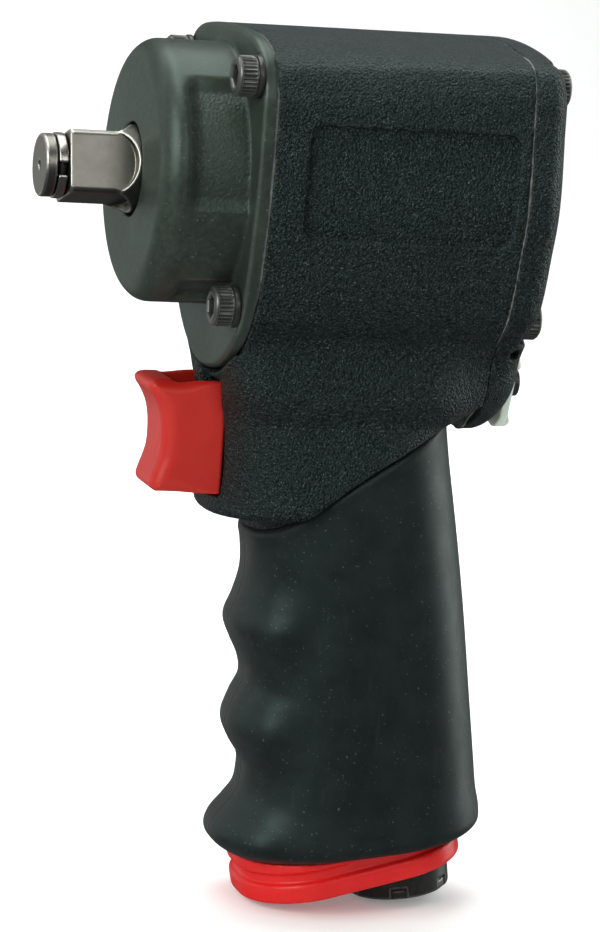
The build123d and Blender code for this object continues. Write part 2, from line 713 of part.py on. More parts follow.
with BuildPart() as throttle_seat:
    with BuildSketch(inlet_at(71.0)):
        Circle(6.77)
        Circle(3.4, mode=Mode.SUBTRACT)
    extrude(amount=3.0)
save(throttle_seat, "throttle_seat")

with BuildPart() as throttle_valve:
    with BuildSketch(inlet_at(68.9)):
        Circle(5.6)
    extrude(amount=2.0)
    with BuildSketch(inlet_at(70.9)):
        Circle(1.4)
    extrude(amount=27.0)
save(throttle_valve, "throttle_valve")

with BuildPart() as throttle_spring:
    with BuildLine() as tcoil:
        Helix(pitch=4.6, height=37.6, radius=4.3, center=inlet_at(30.0).origin, direction=inlet_plane.z_dir)
    with BuildSketch(Plane(origin=tcoil.line @ 0, z_dir=tcoil.line % 0)):
        Circle(0.5)
    sweep(is_frenet=True)
save(throttle_spring, "throttle_spring")

with BuildPart() as inlet_screen:
    with BuildSketch(inlet_at(28.3)):
        Circle(6.7)
        Circle(0.8, mode=Mode.SUBTRACT)
        with PolarLocations(2.6, 6):
            Circle(0.9, mode=Mode.SUBTRACT)
        with PolarLocations(5.0, 12):
            Circle(0.9, mode=Mode.SUBTRACT)
    extrude(amount=0.8)
save(inlet_screen, "inlet_screen")

# ---------------------------------------------------------------- inlet bushing
with BuildPart() as inlet_bushing:
    with BuildSketch(inlet_at(-0.7)):
        Circle(11.0)
    extrude(amount=8.7)
    with BuildSketch(inlet_at(8.0)):
        Circle(8.5)
    extrude(amount=20.0)
    # two wrench flats milled on the collar
    for s in (1, -1):
        with BuildSketch(inlet_at(-1.2)):
            with Locations((0, s * 12.2)):
                Rectangle(9, 3.6)
        extrude(amount=3.2, mode=Mode.SUBTRACT)
    with BuildSketch(inlet_at(-1.7)):
        Circle(INLET_MINOR_R)
    extrude(amount=INLET_THREAD_L + 1.7, mode=Mode.SUBTRACT)
    with BuildSketch(inlet_at(INLET_THREAD_L)):
        Circle(5.0)
    extrude(amount=20, mode=Mode.SUBTRACT)
save(inlet_bushing, "inlet_bushing")

with BuildPart() as inlet_o_ring:
    with BuildSketch(Plane(origin=inlet_plane.origin, x_dir=inlet_plane.x_dir, z_dir=(0, -1, 0))):
        with Locations((9.6, 12.98)):
            Circle(0.9)
    revolve(axis=Axis(inlet_plane.origin, inlet_plane.z_dir))
save(inlet_o_ring, "inlet_o_ring")

# ---------------------------------------------------------------- rubber grip
with BuildPart() as grip_sleeve:
    add(split(grip_block, bisect_by=grip_top.offset(-0.08), keep=Keep.BOTTOM, mode=Mode.PRIVATE))
    split(bisect_by=grip_bottom, keep=Keep.TOP)
    add(core_clear, mode=Mode.SUBTRACT)
    add(barrel_block.part, mode=Mode.SUBTRACT)
save(grip_sleeve, "grip_sleeve")

# ---------------------------------------------------------------- exhaust deflector and muffler
RIM_XF, RIM_XR, RIM_HW = 15.0, -32.6, 17.4      # in the tilted base plane, from its origin


def base_outline(h, inset):
    with BuildSketch(base_plane.offset(h)) as sk:
        with Locations(((RIM_XF + RIM_XR) / 2, 0)):
            RectangleRounded(RIM_XF - RIM_XR - 2 * inset, 2 * (RIM_HW - inset), (RIM_HW - inset) * 0.9)
    return sk.sketch


with BuildPart() as exhaust_deflector:
    add(base_outline(0.0, 0.0))
    extrude(amount=4.0, dir=base_plane.z_dir)
    add(base_outline(4.0, 1.1))
    extrude(amount=2.3, dir=base_plane.z_dir)
    add(base_outline(6.3, 0.3))
    extrude(amount=10.0, dir=base_plane.z_dir)
    split(bisect_by=grip_bottom.offset(-0.05), keep=Keep.BOTTOM)
    # exhaust chamber, open at the top
    with BuildSketch(base_plane.offset(2.4)):
        with Locations(((RIM_XF + RIM_XR) / 2, 0)):
            RectangleRounded(RIM_XF - RIM_XR - 6.4, 2 * (RIM_HW - 3.2), 12.0)
    extrude(amount=20, mode=Mode.SUBTRACT)
    # tube round the inlet bushing
    with BuildSketch(inlet_at(2)):
        Circle(13.4)
    extrude(amount=12)
    split(bisect_by=grip_bottom.offset(-0.05), keep=Keep.BOTTOM)
    split(bisect_by=base_plane, keep=Keep.TOP)
    with BuildSketch(inlet_at(-4)):
        Circle(11.4)
    extrude(amount=12.05, mode=Mode.SUBTRACT)
    with BuildSketch(inlet_at(-4)):
        Circle(8.8)
    extrude(amount=40, mode=Mode.SUBTRACT)
    with BuildSketch(inlet_at(11.9)):
        Circle(10.7)
    extrude(amount=40, mode=Mode.SUBTRACT)
    # outlet louvres in the floor
    with BuildSketch(base_plane.offset(-1)):
        with Locations(*[(11.0 - 5.0 * i, 0) for i in range(4)]):
            SlotOverall(18, 2.4, rotation=90)
    extrude(amount=4.6, mode=Mode.SUBTRACT)
save(exhaust_deflector, "exhaust_deflector")

with BuildPart() as muffler:
    with BuildSketch(base_plane.offset(2.6)):
        with Locations((2.4, 0)):
            RectangleRounded(13.0, 18.0, 6.0)
    extrude(amount=2.6)
save(muffler, "muffler")
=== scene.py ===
import bpy, json, math
import numpy as np
from mathutils import Matrix, Vector


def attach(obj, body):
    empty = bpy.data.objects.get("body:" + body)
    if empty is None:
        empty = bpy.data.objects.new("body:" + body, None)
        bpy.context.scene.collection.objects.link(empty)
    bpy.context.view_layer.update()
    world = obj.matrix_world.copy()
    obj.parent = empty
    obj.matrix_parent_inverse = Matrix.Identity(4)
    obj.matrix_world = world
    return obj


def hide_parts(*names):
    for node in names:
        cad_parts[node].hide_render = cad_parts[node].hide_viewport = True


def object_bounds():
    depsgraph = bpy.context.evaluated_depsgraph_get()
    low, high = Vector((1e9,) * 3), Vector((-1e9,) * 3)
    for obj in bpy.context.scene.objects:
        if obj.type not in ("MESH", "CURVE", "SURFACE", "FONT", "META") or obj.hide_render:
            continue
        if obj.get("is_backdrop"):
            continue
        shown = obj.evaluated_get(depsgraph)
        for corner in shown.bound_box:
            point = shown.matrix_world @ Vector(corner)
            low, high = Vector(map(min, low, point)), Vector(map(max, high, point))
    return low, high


# Visible pieces of a short air impact wrench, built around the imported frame.
# The cast, moulded and machined pieces are modelled as signed distance fields (millimetres, in
# the frame's own axes) and meshed by surface nets, so that every edge has its real rounding.
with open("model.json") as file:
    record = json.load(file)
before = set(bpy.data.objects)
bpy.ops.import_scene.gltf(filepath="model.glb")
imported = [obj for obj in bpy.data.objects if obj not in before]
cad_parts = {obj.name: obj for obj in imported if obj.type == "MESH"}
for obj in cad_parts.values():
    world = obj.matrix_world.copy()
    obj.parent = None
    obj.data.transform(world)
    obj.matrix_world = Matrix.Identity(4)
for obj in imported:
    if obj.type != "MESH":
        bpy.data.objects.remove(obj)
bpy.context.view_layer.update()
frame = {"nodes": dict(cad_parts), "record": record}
NODES = frame["nodes"]
MM = 0.001
COARSE = 1.0


# ------------------------------------------------------------------ field helpers
def smin(a, b, k):
    h = np.maximum(k - np.abs(a - b), 0) / k
    return np.minimum(a, b) - h * h * k * 0.25


def smax(a, b, k):
    return -smin(-a, -b, k)


def rmax(a, b, r):
    """Intersection with a true rounded edge of radius r."""
    return np.minimum(np.maximum(a, b), -r) + np.sqrt(np.maximum(a + r, 0) ** 2 + np.maximum(b + r, 0) ** 2)


def rmin(a, b, r):
    """Union with a true fillet of radius r."""
    return np.maximum(np.minimum(a, b), r) - np.sqrt(np.maximum(r - a, 0) ** 2 + np.maximum(r - b, 0) ** 2)


def rrect(u, v, a, b, r):
    qx, qy = np.abs(u) - a + r, np.abs(v) - b + r
    return np.sqrt(np.maximum(qx, 0) ** 2 + np.maximum(qy, 0) ** 2) + np.minimum(np.maximum(qx, qy), 0) - r


def hyp(a, b):
    return np.sqrt(a * a + b * b)


def catmull(pts, n=14):
    """Smooth open curve through points, mirrored at both ends (both ends lie on y = 0)."""
    P = np.array(pts, float)
    first = np.array([-P[1, 0], P[1, 1]])
    last = np.array([-P[-2, 0], P[-2, 1]])
    Q = np.vstack([first, P, last])
    out = []
    for i in range(1, len(Q) - 2):
        p0, p1, p2, p3 = Q[i - 1], Q[i], Q[i + 1], Q[i + 2]
        t0 = 0.0
        t1 = t0 + np.linalg.norm(p1 - p0) ** 0.5
        t2 = t1 + np.linalg.norm(p2 - p1) ** 0.5
        t3 = t2 + np.linalg.norm(p3 - p2) ** 0.5
        t = np.linspace(t1, t2, n, endpoint=False)[:, None]
        a1 = (t1 - t) / (t1 - t0) * p0 + (t - t0) / (t1 - t0) * p1
        a2 = (t2 - t) / (t2 - t1) * p1 + (t - t1) / (t2 - t1) * p2
        a3 = (t3 - t) / (t3 - t2) * p2 + (t - t2) / (t3 - t2) * p3
        b1 = (t2 - t) / (t2 - t0) * a1 + (t - t0) / (t2 - t0) * a2
        b2 = (t3 - t) / (t3 - t1) * a2 + (t - t1) / (t3 - t1) * a3
        out.append((t2 - t) / (t2 - t1) * b1 + (t - t1) / (t2 - t1) * b2)
    return np.vstack(out + [P[-1][None]])


class Section:
    """Signed distance of a closed polygon, kept as a table and read bilinearly."""

    def __init__(self, poly, lo, hi, h=0.25):
        self.lo, self.h = np.array(lo, float), h
        nu, nv = int((hi[0] - lo[0]) / h) + 2, int((hi[1] - lo[1]) / h) + 2
        U, V = np.meshgrid(lo[0] + h * np.arange(nu), lo[1] + h * np.arange(nv), indexing="ij")
        P = np.stack([U.ravel(), V.ravel()], 1)
        A = np.asarray(poly, float)
        B = np.roll(A, -1, 0)
        best = np.full(len(P), 1e18)
        inside = np.zeros(len(P), bool)
        for a, b in zip(A, B):
            e = b - a
            w = P - a
            t = np.clip((w @ e) / max(e @ e, 1e-12), 0, 1)
            q = w - t[:, None] * e
            best = np.minimum(best, (q * q).sum(1))
            cond = (a[1] > P[:, 1]) != (b[1] > P[:, 1])
            if a[1] != b[1]:
                xi = a[0] + (P[:, 1] - a[1]) * (b[0] - a[0]) / (b[1] - a[1])
                inside ^= cond & (P[:, 0] < xi)
        d = np.sqrt(best) * np.where(inside, -1, 1)
        self.t = d.reshape(nu, nv)

    def __call__(self, u, v):
        a = np.clip((u - self.lo[0]) / self.h, 0, self.t.shape[0] - 1.001)
        b = np.clip((v - self.lo[1]) / self.h, 0, self.t.shape[1] - 1.001)
        i, j = a.astype(int), b.astype(int)
        fa, fb = a - i, b - j
        t = self.t
        return ((1 - fa) * (1 - fb) * t[i, j] + fa * (1 - fb) * t[i + 1, j]
                + (1 - fa) * fb * t[i, j + 1] + fa * fb * t[i + 1, j + 1])


class Curve1:
    """Cubic Hermite interpolation of rows, kept as a table."""

    def __init__(self, zs, vals):
        zs, vals = np.array(zs, float), np.array(vals, float)
        o = np.argsort(zs)
        zs, vals = zs[o], vals[o]
        m = np.gradient(vals, zs)
        z = np.linspace(zs[0], zs[-1], 1500)
        i = np.clip(np.searchsorted(zs, z) - 1, 0, len(zs) - 2)
        h = zs[i + 1] - zs[i]
        t = (z - zs[i]) / h
        v = ((2 * t ** 3 - 3 * t ** 2 + 1) * vals[i] + (t ** 3 - 2 * t ** 2 + t) * h * m[i]
             + (-2 * t ** 3 + 3 * t ** 2) * vals[i + 1] + (t ** 3 - t ** 2) * h * m[i + 1])
        self.z, self.v = z, v

    def __call__(self, z):
        return np.interp(z, self.z, self.v)


# ------------------------------------------------------------------ meshing
def nets(f, lo, hi, h):
    """Surface nets of f < 0 over a box, then vertices pulled onto the exact surface."""
    h = h * COARSE
    n = [int(math.ceil((hi[i] - lo[i]) / h)) + 1 for i in range(3)]
    ax = [lo[i] + h * np.arange(n[i]) for i in range(3)]
    F = np.empty(n, np.float32)
    step = max(1, int(1.5e6 / (n[1] * n[2])))
    for s in range(0, n[0], step):
        F[s:s + step] = f(ax[0][s:s + step, None, None], ax[1][None, :, None], ax[2][None, None, :])
    F[np.abs(F) < 1e-6] = 1e-6
    ins = F < 0
    c = np.zeros([m - 1 for m in n], np.uint8)
    for a in (0, 1):
        for b in (0, 1):
            for d in (0, 1):
                c += ins[a:n[0] - 1 + a, b:n[1] - 1 + b, d:n[2] - 1 + d]
    cell = np.argwhere((c > 0) & (c < 8))
    idx = np.full(c.shape, -1, np.int64)
    idx[tuple(cell.T)] = np.arange(len(cell))
    acc, cnt = np.zeros((len(cell), 3)), np.zeros(len(cell))
    corners = [(a, b, d) for a in (0, 1) for b in (0, 1) for d in (0, 1)]
    vals = {k: F[cell[:, 0] + k[0], cell[:, 1] + k[1], cell[:, 2] + k[2]] for k in corners}
    for a in corners:
        for k in range(3):
            if a[k] == 0:
                b = list(a)
                b[k] = 1
                b = tuple(b)
                fa, fb = vals[a], vals[b]
                x = (fa < 0) != (fb < 0)
                t = np.where(x, fa / np.where(x, fa - fb, 1), 0)
                p = np.array(a, float) + t[:, None] * (np.array(b, float) - np.array(a, float))
                acc += p * x[:, None]
                cnt += x
    V = (cell + acc / cnt[:, None]) * h + np.array(lo)
    quads = []
    for k in range(3):
        u, v = (k + 1) % 3, (k + 2) % 3
        sl0 = [slice(1, n[0] - 1)] * 0
        A = ins
        s0 = [slice(1, n[i] - 1) for i in range(3)]
        s1 = list(s0)
        s0[k], s1[k] = slice(0, n[k] - 1), slice(1, n[k])
        a, b = A[tuple(s0)], A[tuple(s1)]
        for flip, m in ((False, a & ~b), (True, ~a & b)):
            e = np.argwhere(m)
            if not len(e):
                continue
            off = np.array([1, 1, 1])
            off[k] = 0
            e = e + off
            du, dv = np.zeros(3, int), np.zeros(3, int)
            du[u], dv[v] = 1, 1
            q = [idx[tuple((e - du - dv).T)], idx[tuple((e - dv).T)], idx[tuple(e.T)], idx[tuple((e - du).T)]]
            if flip:
                q = q[::-1]
            quads.append(np.stack(q, 1))
    Q = np.vstack(quads)
    e = 0.02

    def at(P):
        return f(P[:, 0], P[:, 1], P[:, 2])

    for _ in range(3):
        g = np.stack([(at(V + d) - at(V - d)) / (2 * e) for d in np.eye(3) * e], 1)
        val = at(V)
        move = -val[:, None] * g / np.maximum((g * g).sum(1), 0.2)[:, None]
        ln = np.linalg.norm(move, axis=1)
        V = V + move * np.minimum(1, 0.5 * h / np.maximum(ln, 1e-9))[:, None]
    # relax a little along the surface so that the quads are even, then pull back on
    W = np.zeros_like(V)
    m = np.zeros(len(V))
    for i in range(4):
        for j in (1, 3):
            np.add.at(W, Q[:, i], V[Q[:, (i + j) % 4]])
            np.add.at(m, Q[:, i], 1)
    W /= np.maximum(m, 1)[:, None]
    g = np.stack([(at(V + d) - at(V - d)) / (2 * e) for d in np.eye(3) * e], 1)
    nn = g / np.maximum(np.linalg.norm(g, axis=1), 1e-6)[:, None]
    t = W - V
    V = V + 0.5 * (t - (t * nn).sum(1)[:, None] * nn)
    g = np.stack([(at(V + d) - at(V - d)) / (2 * e) for d in np.eye(3) * e], 1)
    val = at(V)
    move = -val[:, None] * g / np.maximum((g * g).sum(1), 0.2)[:, None]
    ln = np.linalg.norm(move, axis=1)
    V = V + move * np.minimum(1, 0.5 * h / np.maximum(ln, 1e-9))[:, None]
    k = 0.45
    lap = sum(at(V + d) + at(V - d) for d in np.eye(3) * k) - 6 * at(V)
    return V, Q, np.clip(lap / (k * k) * 0.5, -1, 1)


def mesh_obj(name, V, faces, body, mat, replaces=(), attrs=None, smooth=True):
    me = bpy.data.meshes.new(name)
    F = faces.tolist() if isinstance(faces, np.ndarray) else faces
    me.from_pydata((np.asarray(V) * MM).tolist(), [], F)
    me.polygons.foreach_set("use_smooth", [smooth] * len(me.polygons))
    for k, v in (attrs or {}).items():
        at = me.attributes.new(k, "FLOAT", "POINT")
        at.data.foreach_set("value", np.asarray(v, np.float32))
    me.update()
    ob = bpy.data.objects.new(name, me)
    bpy.context.scene.collection.objects.link(ob)
    me.materials.append(mat)
    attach(ob, body)
    if replaces:
        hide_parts(*replaces)
    return ob


def field_obj(name, f, lo, hi, h, body, mat, replaces=(), masks=None):
    V, Q, curv = nets(f, lo, hi, h)
    attrs = {"edge": curv}
    for k, fn in (masks or {}).items():
        attrs[k] = fn(V[:, 0], V[:, 1], V[:, 2])
    return mesh_obj(name, V, Q, body, mat, replaces, attrs)


# ------------------------------------------------------------------ materials
class Nodes:
    def __init__(self, name):
        self.m = bpy.data.materials.new(name)
        self.m.use_nodes = True
        self.nt = self.m.node_tree
        self.nt.nodes.clear()
        self.out = self.nt.nodes.new("ShaderNodeOutputMaterial")
        self.bsdf = self.nt.nodes.new("ShaderNodeBsdfPrincipled")
        self.nt.links.new(self.bsdf.outputs[0], self.out.inputs[0])
        self.co = self.nt.nodes.new("ShaderNodeTexCoord").outputs["Object"]

    def link(self, a, b):
        self.nt.links.new(a, b)

    def put(self, sock, v):
        if hasattr(v, "is_output"):
            self.link(v, sock)
        else:
            sock.default_value = v

    def mapping(self, scale=(1, 1, 1), rot=(0, 0, 0)):
        n = self.nt.nodes.new("ShaderNodeMapping")
        n.inputs["Scale"].default_value = scale
        n.inputs["Rotation"].default_value = rot
        self.link(self.co, n.inputs["Vector"])
        return n.outputs[0]

    def noise(self, size_mm, detail=3.0, rough=0.5, vec=None, dist=0.0):
        n = self.nt.nodes.new("ShaderNodeTexNoise")
        n.inputs["Scale"].default_value = 1.0 / (size_mm * MM)
        n.inputs["Detail"].default_value = detail
        n.inputs["Roughness"].default_value = rough
        n.inputs["Distortion"].default_value = dist
        self.link(vec if vec is not None else self.co, n.inputs["Vector"])
        return n.outputs["Fac"]

    def voronoi(self, size_mm, feature="F1", vec=None, smooth=None, rand=1.0):
        n = self.nt.nodes.new("ShaderNodeTexVoronoi")
        n.feature = feature
        n.inputs["Scale"].default_value = 1.0 / (size_mm * MM)
        n.inputs["Randomness"].default_value = rand
        self.link(vec if vec is not None else self.co, n.inputs["Vector"])
        return n.outputs["Distance"]

    def ramp(self, v, lo, hi, a=0.0, b=1.0, kind="SMOOTHSTEP"):
        n = self.nt.nodes.new("ShaderNodeMapRange")
        n.interpolation_type = kind
        self.put(n.inputs["Value"], v)
        for k, x in (("From Min", lo), ("From Max", hi), ("To Min", a), ("To Max", b)):
            self.put(n.inputs[k], x)
        return n.outputs[0]

    def math(self, op, a, b=0.0, clamp=False):
        n = self.nt.nodes.new("ShaderNodeMath")
        n.operation = op
        n.use_clamp = clamp
        self.put(n.inputs[0], a)
        self.put(n.inputs[1], b)
        return n.outputs[0]

    def mix(self, f, a, b):
        n = self.nt.nodes.new("ShaderNodeMix")
        n.data_type = "RGBA"
        self.put(n.inputs[0], f)
        for k, x in ((6, a), (7, b)):
            if hasattr(x, "is_output"):
                self.link(x, n.inputs[k])
            else:
                n.inputs[k].default_value = (*x, 1.0)
        return n.outputs[2]

    def attr(self, name):
        n = self.nt.nodes.new("ShaderNodeAttribute")
        n.attribute_name = name
        return n.outputs["Fac"]

    def xyz(self):
        n = self.nt.nodes.new("ShaderNodeSeparateXYZ")
        self.link(self.co, n.inputs[0])
        return n.outputs

    def bump(self, h, dist_mm, strength=1.0, normal=None):
        n = self.nt.nodes.new("ShaderNodeBump")
        n.inputs["Strength"].default_value = strength
        n.inputs["Distance"].default_value = dist_mm * MM
        self.put(n.inputs["Height"], h)
        if normal is not None:
            self.link(normal, n.inputs["Normal"])
        return n.outputs[0]

    def finish(self, color, rough, metal=0.0, normal=None, spec=0.5, coat=None, sheen=None):
        b = self.bsdf.inputs
        if hasattr(color, "is_output"):
            self.link(color, b["Base Color"])
        else:
            b["Base Color"].default_value = (*color, 1.0)
        self.put(b["Roughness"], rough)
        self.put(b["Metallic"], metal)
        b["Specular IOR Level"].default_value = spec
        if normal is not None:
            self.link(normal, b["Normal"])
        if coat:
            b["Coat Weight"].default_value, b["Coat Roughness"].default_value = coat
        if sheen:
            b["Sheen Weight"].default_value, b["Sheen Roughness"].default_value = sheen
        return self.m


def powder_coat():
    """Fine wrinkle finish: small cells, with painted shade darkening the wrinkle valleys and painted glints as a few
    bright specks.
    """
    n = Nodes("powder_coat")
    warp = n.noise(0.9, 2.0)
    cells = n.voronoi(0.44, "SMOOTH_F1")
    fine = n.noise(0.26, 3.0, 0.6)
    broad = n.noise(9.0, 3.0)
    h = n.math("ADD", n.math("MULTIPLY", n.ramp(cells, 0.05, 0.75, 1.0, 0.0), 0.75), n.math("MULTIPLY", fine, 0.75))
    h = n.math("ADD", h, n.math("MULTIPLY", warp, 0.5))
    # painted glints: a few bright specks painted into the base colour, standing in for sparkle on the wrinkles
    glint_paint = n.ramp(n.noise(0.24, 0.0), 0.68, 0.76)
    # painted shade: the base colour follows the bump height, darker in the wrinkle valleys and lighter on the crests
    base = n.mix(n.ramp(h, 0.55, 1.35), (0.0026, 0.0042, 0.0046), (0.0125, 0.0175, 0.0180))
    base = n.mix(n.math("MULTIPLY", glint_paint, 0.55), base, (0.13, 0.155, 0.15))
    edge = n.math("MULTIPLY", n.ramp(n.attr("edge"), 0.30, 0.95), n.ramp(n.noise(1.6, 4.0, 0.7), 0.40, 0.62))
    base = n.mix(n.math("MULTIPLY", edge, 0.38), base, (0.075, 0.08, 0.078))
    rough = n.ramp(n.math("ADD", broad, n.math("MULTIPLY", fine, 0.35)), 0.35, 1.0, 0.38, 0.52)
    return n.finish(base, rough, 0.0, n.bump(h, 0.36, 1.0), 0.36)


def case_finish():
    """Phosphated satin steel: fine grain, rough as-cast pockets, dusty specks."""
    n = Nodes("case_finish")
    grain = n.noise(0.16, 2.0, 0.6)
    mid = n.noise(1.1, 4.0, 0.6)
    broad = n.noise(14.0, 3.0)
    cast = n.attr("cast")
    pit = n.ramp(n.voronoi(0.55, "SMOOTH_F1"), 0.0, 0.8)
    pit = n.math("ADD", pit, n.noise(0.5, 4.0, 0.7))
    lint = n.ramp(n.noise(0.5, 0.0), 0.77, 0.81)
    base = n.mix(n.ramp(n.math("ADD", mid, broad), 0.7, 1.3), (0.026, 0.032, 0.025), (0.042, 0.051, 0.041))
    base = n.mix(n.math("MULTIPLY", n.ramp(n.attr("edge"), 0.25, 0.9), 0.30), base, (0.13, 0.14, 0.125))
    base = n.mix(n.math("MULTIPLY", lint, 0.30), base, (0.22, 0.23, 0.22))
    height = n.math("ADD", n.math("MULTIPLY", grain, 0.35), n.math("MULTIPLY", n.math("MULTIPLY", pit, cast), 1.3))
    rough = n.math("ADD", n.ramp(n.math("ADD", mid, n.math("MULTIPLY", grain, 0.4)), 0.4, 1.0, 0.36, 0.48),
                   n.math("MULTIPLY", cast, 0.04))
    return n.finish(base, rough, 0.25, n.bump(height, 0.07, 0.8), 0.5)


def rubber():
    """Matt grip rubber with a fine grain, faint handling marks and a mould line down the front."""
    n = Nodes("grip_rubber")
    grain = n.noise(0.20, 3.0, 0.65)
    soft = n.noise(6.0, 4.0, 0.6)
    dust = n.ramp(n.noise(0.45, 0.0), 0.79, 0.82)
    scratch = n.ramp(n.noise(2.0, 1.0, 0.5, n.mapping((1.0, 1.0, 0.12), (0.0, 0.5, 0.2))), 0.70, 0.74)
    x, y, z = n.xyz()
    line = n.ramp(n.math("ABSOLUTE", n.math("SUBTRACT", y, 0.0)), 0.00012, 0.00042, 1.0, 0.0)
    front = n.ramp(x, -0.030, -0.022)
    line = n.math("MULTIPLY", line, front)
    base = n.mix(n.ramp(soft, 0.3, 0.7), (0.0060, 0.0088, 0.0090), (0.0090, 0.0125, 0.0125))
    base = n.mix(n.math("MULTIPLY", dust, 0.35), base, (0.16, 0.17, 0.17))
    base = n.mix(n.math("MULTIPLY", scratch, 0.04), base, (0.08, 0.09, 0.09))
    h = n.math("ADD", n.math("MULTIPLY", grain, 0.45), n.math("MULTIPLY", line, 2.2))
    base = n.mix(n.math("MULTIPLY", line, 0.6), base, (0.002, 0.003, 0.003))
    rough = n.ramp(n.math("ADD", soft, n.math("MULTIPLY", grain, 0.5)), 0.4, 1.1, 0.42, 0.54)
    return n.finish(base, rough, 0.0, n.bump(h, 0.06, 0.7), 0.36, None, (0.04, 0.5))


def moulded(name, lo, hi, rough0=0.34, rough1=0.46, wear=(0.8, 0.25, 0.2), sss=0.0):
    """Satin injection-moulded plastic: fine spark-eroded grain, slow colour drift, rubbed edges."""
    n = Nodes(name)
    grain = n.noise(0.18, 2.0, 0.6)
    drift = n.noise(11.0, 3.0)
    scuff = n.ramp(n.noise(1.2, 5.0, 0.7, n.mapping((1.0, 1.0, 0.35))), 0.62, 0.72)
    base = n.mix(n.ramp(drift, 0.3, 0.7), lo, hi)
    e = n.math("MULTIPLY", n.ramp(n.attr("edge"), 0.35, 0.95), n.ramp(n.noise(1.0, 4.0), 0.45, 0.65))
    base = n.mix(n.math("MULTIPLY", e, 0.22), base, wear)
    base = n.mix(n.math("MULTIPLY", scuff, 0.05), base, wear)
    rough = n.ramp(n.math("ADD", drift, n.math("MULTIPLY", grain, 0.6)), 0.45, 1.1, rough0, rough1)
    m = n.finish(base, rough, 0.0, n.bump(grain, 0.022, 0.6), 0.32)
    n.bsdf.inputs["Subsurface Weight"].default_value = sss
    n.bsdf.inputs["Subsurface Radius"].default_value = (0.0015, 0.0004, 0.0003)
    return m


def steel(name, lo, hi, rough=(0.26, 0.4), axis="x", brush=0.5, bump=0.012, metal=1.0, spots=0.25, edge=0.35, bright=(0.75, 0.73, 0.70)):
    """Machined steel: lay of the tool across one axis, slight staining, brighter rubbed edges."""
    n = Nodes(name)
    sc = {"x": (9.0, 1.0, 1.0), "y": (1.0, 9.0, 1.0), "z": (1.0, 1.0, 9.0), "n": (1, 1, 1)}[axis]
    lay = n.noise(0.9, 4.0, 0.6, n.mapping(sc))
    fine = n.noise(0.14, 2.0, 0.6)
    stain = n.noise(4.0, 5.0, 0.65)
    base = n.mix(n.ramp(n.math("ADD", n.math("MULTIPLY", lay, brush), n.math("MULTIPLY", stain, 0.6)), 0.35, 0.85), lo, hi)
    base = n.mix(n.math("MULTIPLY", n.ramp(stain, 0.60, 0.72), spots), base, tuple(0.55 * c for c in lo))
    base = n.mix(n.math("MULTIPLY", n.ramp(n.attr("edge"), 0.25, 0.8), edge), base, bright)
    r = n.ramp(n.math("ADD", n.math("MULTIPLY", lay, 0.6), n.math("MULTIPLY", fine, 0.4)), 0.3, 0.7, rough[0], rough[1])
    h = n.math("ADD", n.math("MULTIPLY", lay, 0.7), n.math("MULTIPLY", fine, 0.5))
    return n.finish(base, r, metal, n.bump(h, bump, 0.8))


def simple(name, lo, hi, rough, metal=0.0, size=1.5, bump=0.02):
    n = Nodes(name)
    a = n.noise(size, 4.0, 0.6)
    b = n.noise(size * 0.15, 2.0, 0.6)
    base = n.mix(n.ramp(a, 0.3, 0.7), lo, hi)
    return n.finish(base, n.ramp(b, 0.3, 0.7, rough - 0.05, rough + 0.06), metal, n.bump(n.math("ADD", a, b), bump, 0.7))


M_COAT = powder_coat()
M_CASE = case_finish()
M_RUBBER = rubber()
for _m in (M_COAT, M_RUBBER, M_CASE):
    for _n in _m.node_tree.nodes:
        if _n.type == "BSDF_PRINCIPLED":
            _n.inputs["Specular Tint"].default_value = (0.72, 1.0, 0.95, 1.0)
M_TRIGGER = moulded("trigger_red", (0.41, 0.013, 0.008), (0.47, 0.017, 0.011), 0.33, 0.44, (0.66, 0.14, 0.10), 0.03)
M_DEFLECTOR = moulded("deflector_red", (0.62, 0.009, 0.009), (0.70, 0.012, 0.012), 0.32, 0.42, (0.85, 0.16, 0.12), 0.04)
M_KNOB = moulded("knob_pale", (0.52, 0.60, 0.52), (0.60, 0.67, 0.59), 0.30, 0.42, (0.8, 0.82, 0.78))
M_ANVIL = steel("anvil_steel", (0.185, 0.180, 0.158), (0.27, 0.262, 0.232), (0.30, 0.42), "x", 0.35, 0.010, 1.0, 0.15, 0.45, (0.80, 0.78, 0.74))
M_RING = steel("ring_steel", (0.34, 0.32, 0.29), (0.50, 0.48, 0.44), (0.22, 0.34), "x", 0.5, 0.008, 1.0, 0.3, 0.4)
M_SCREW = steel("screw_black", (0.045, 0.048, 0.046), (0.085, 0.088, 0.082), (0.30, 0.44), "n", 0.5, 0.012, 0.7, 0.2, 0.5, (0.26, 0.27, 0.25))
M_INLET = steel("inlet_black", (0.040, 0.044, 0.038), (0.075, 0.080, 0.070), (0.34, 0.48), "n", 0.5, 0.014, 0.6, 0.2, 0.5, (0.24, 0.25, 0.23))
M_STEEL = steel("ground_steel", (0.50, 0.50, 0.49), (0.66, 0.66, 0.64), (0.20, 0.34))
M_BRONZE = steel("bronze", (0.45, 0.30, 0.14), (0.60, 0.42, 0.20), (0.28, 0.4), "x", 0.5, 0.01, 1.0, 0.2, 0.3, (0.8, 0.62, 0.35))
M_SEAL = simple("seal_rubber", (0.008, 0.008, 0.008), (0.018, 0.018, 0.018), 0.42)
M_VANE = simple("vane_phenolic", (0.16, 0.09, 0.045), (0.24, 0.14, 0.07), 0.55)
M_GASKET = simple("gasket_fibre", (0.060, 0.070, 0.062), (0.13, 0.145, 0.13), 0.6, 0.0, 1.6, 0.03)
M_GASKET2 = simple("gasket_fibre_light", (0.06, 0.065, 0.06), (0.20, 0.21, 0.19), 0.6, 0.0, 2.5, 0.03)
M_FELT = simple("muffler_felt", (0.20, 0.19, 0.16), (0.32, 0.31, 0.27), 0.9, 0.0, 0.4, 0.12)
M_SCREEN = steel("screen_steel", (0.45, 0.45, 0.44), (0.6, 0.6, 0.58), (0.3, 0.45), "n")

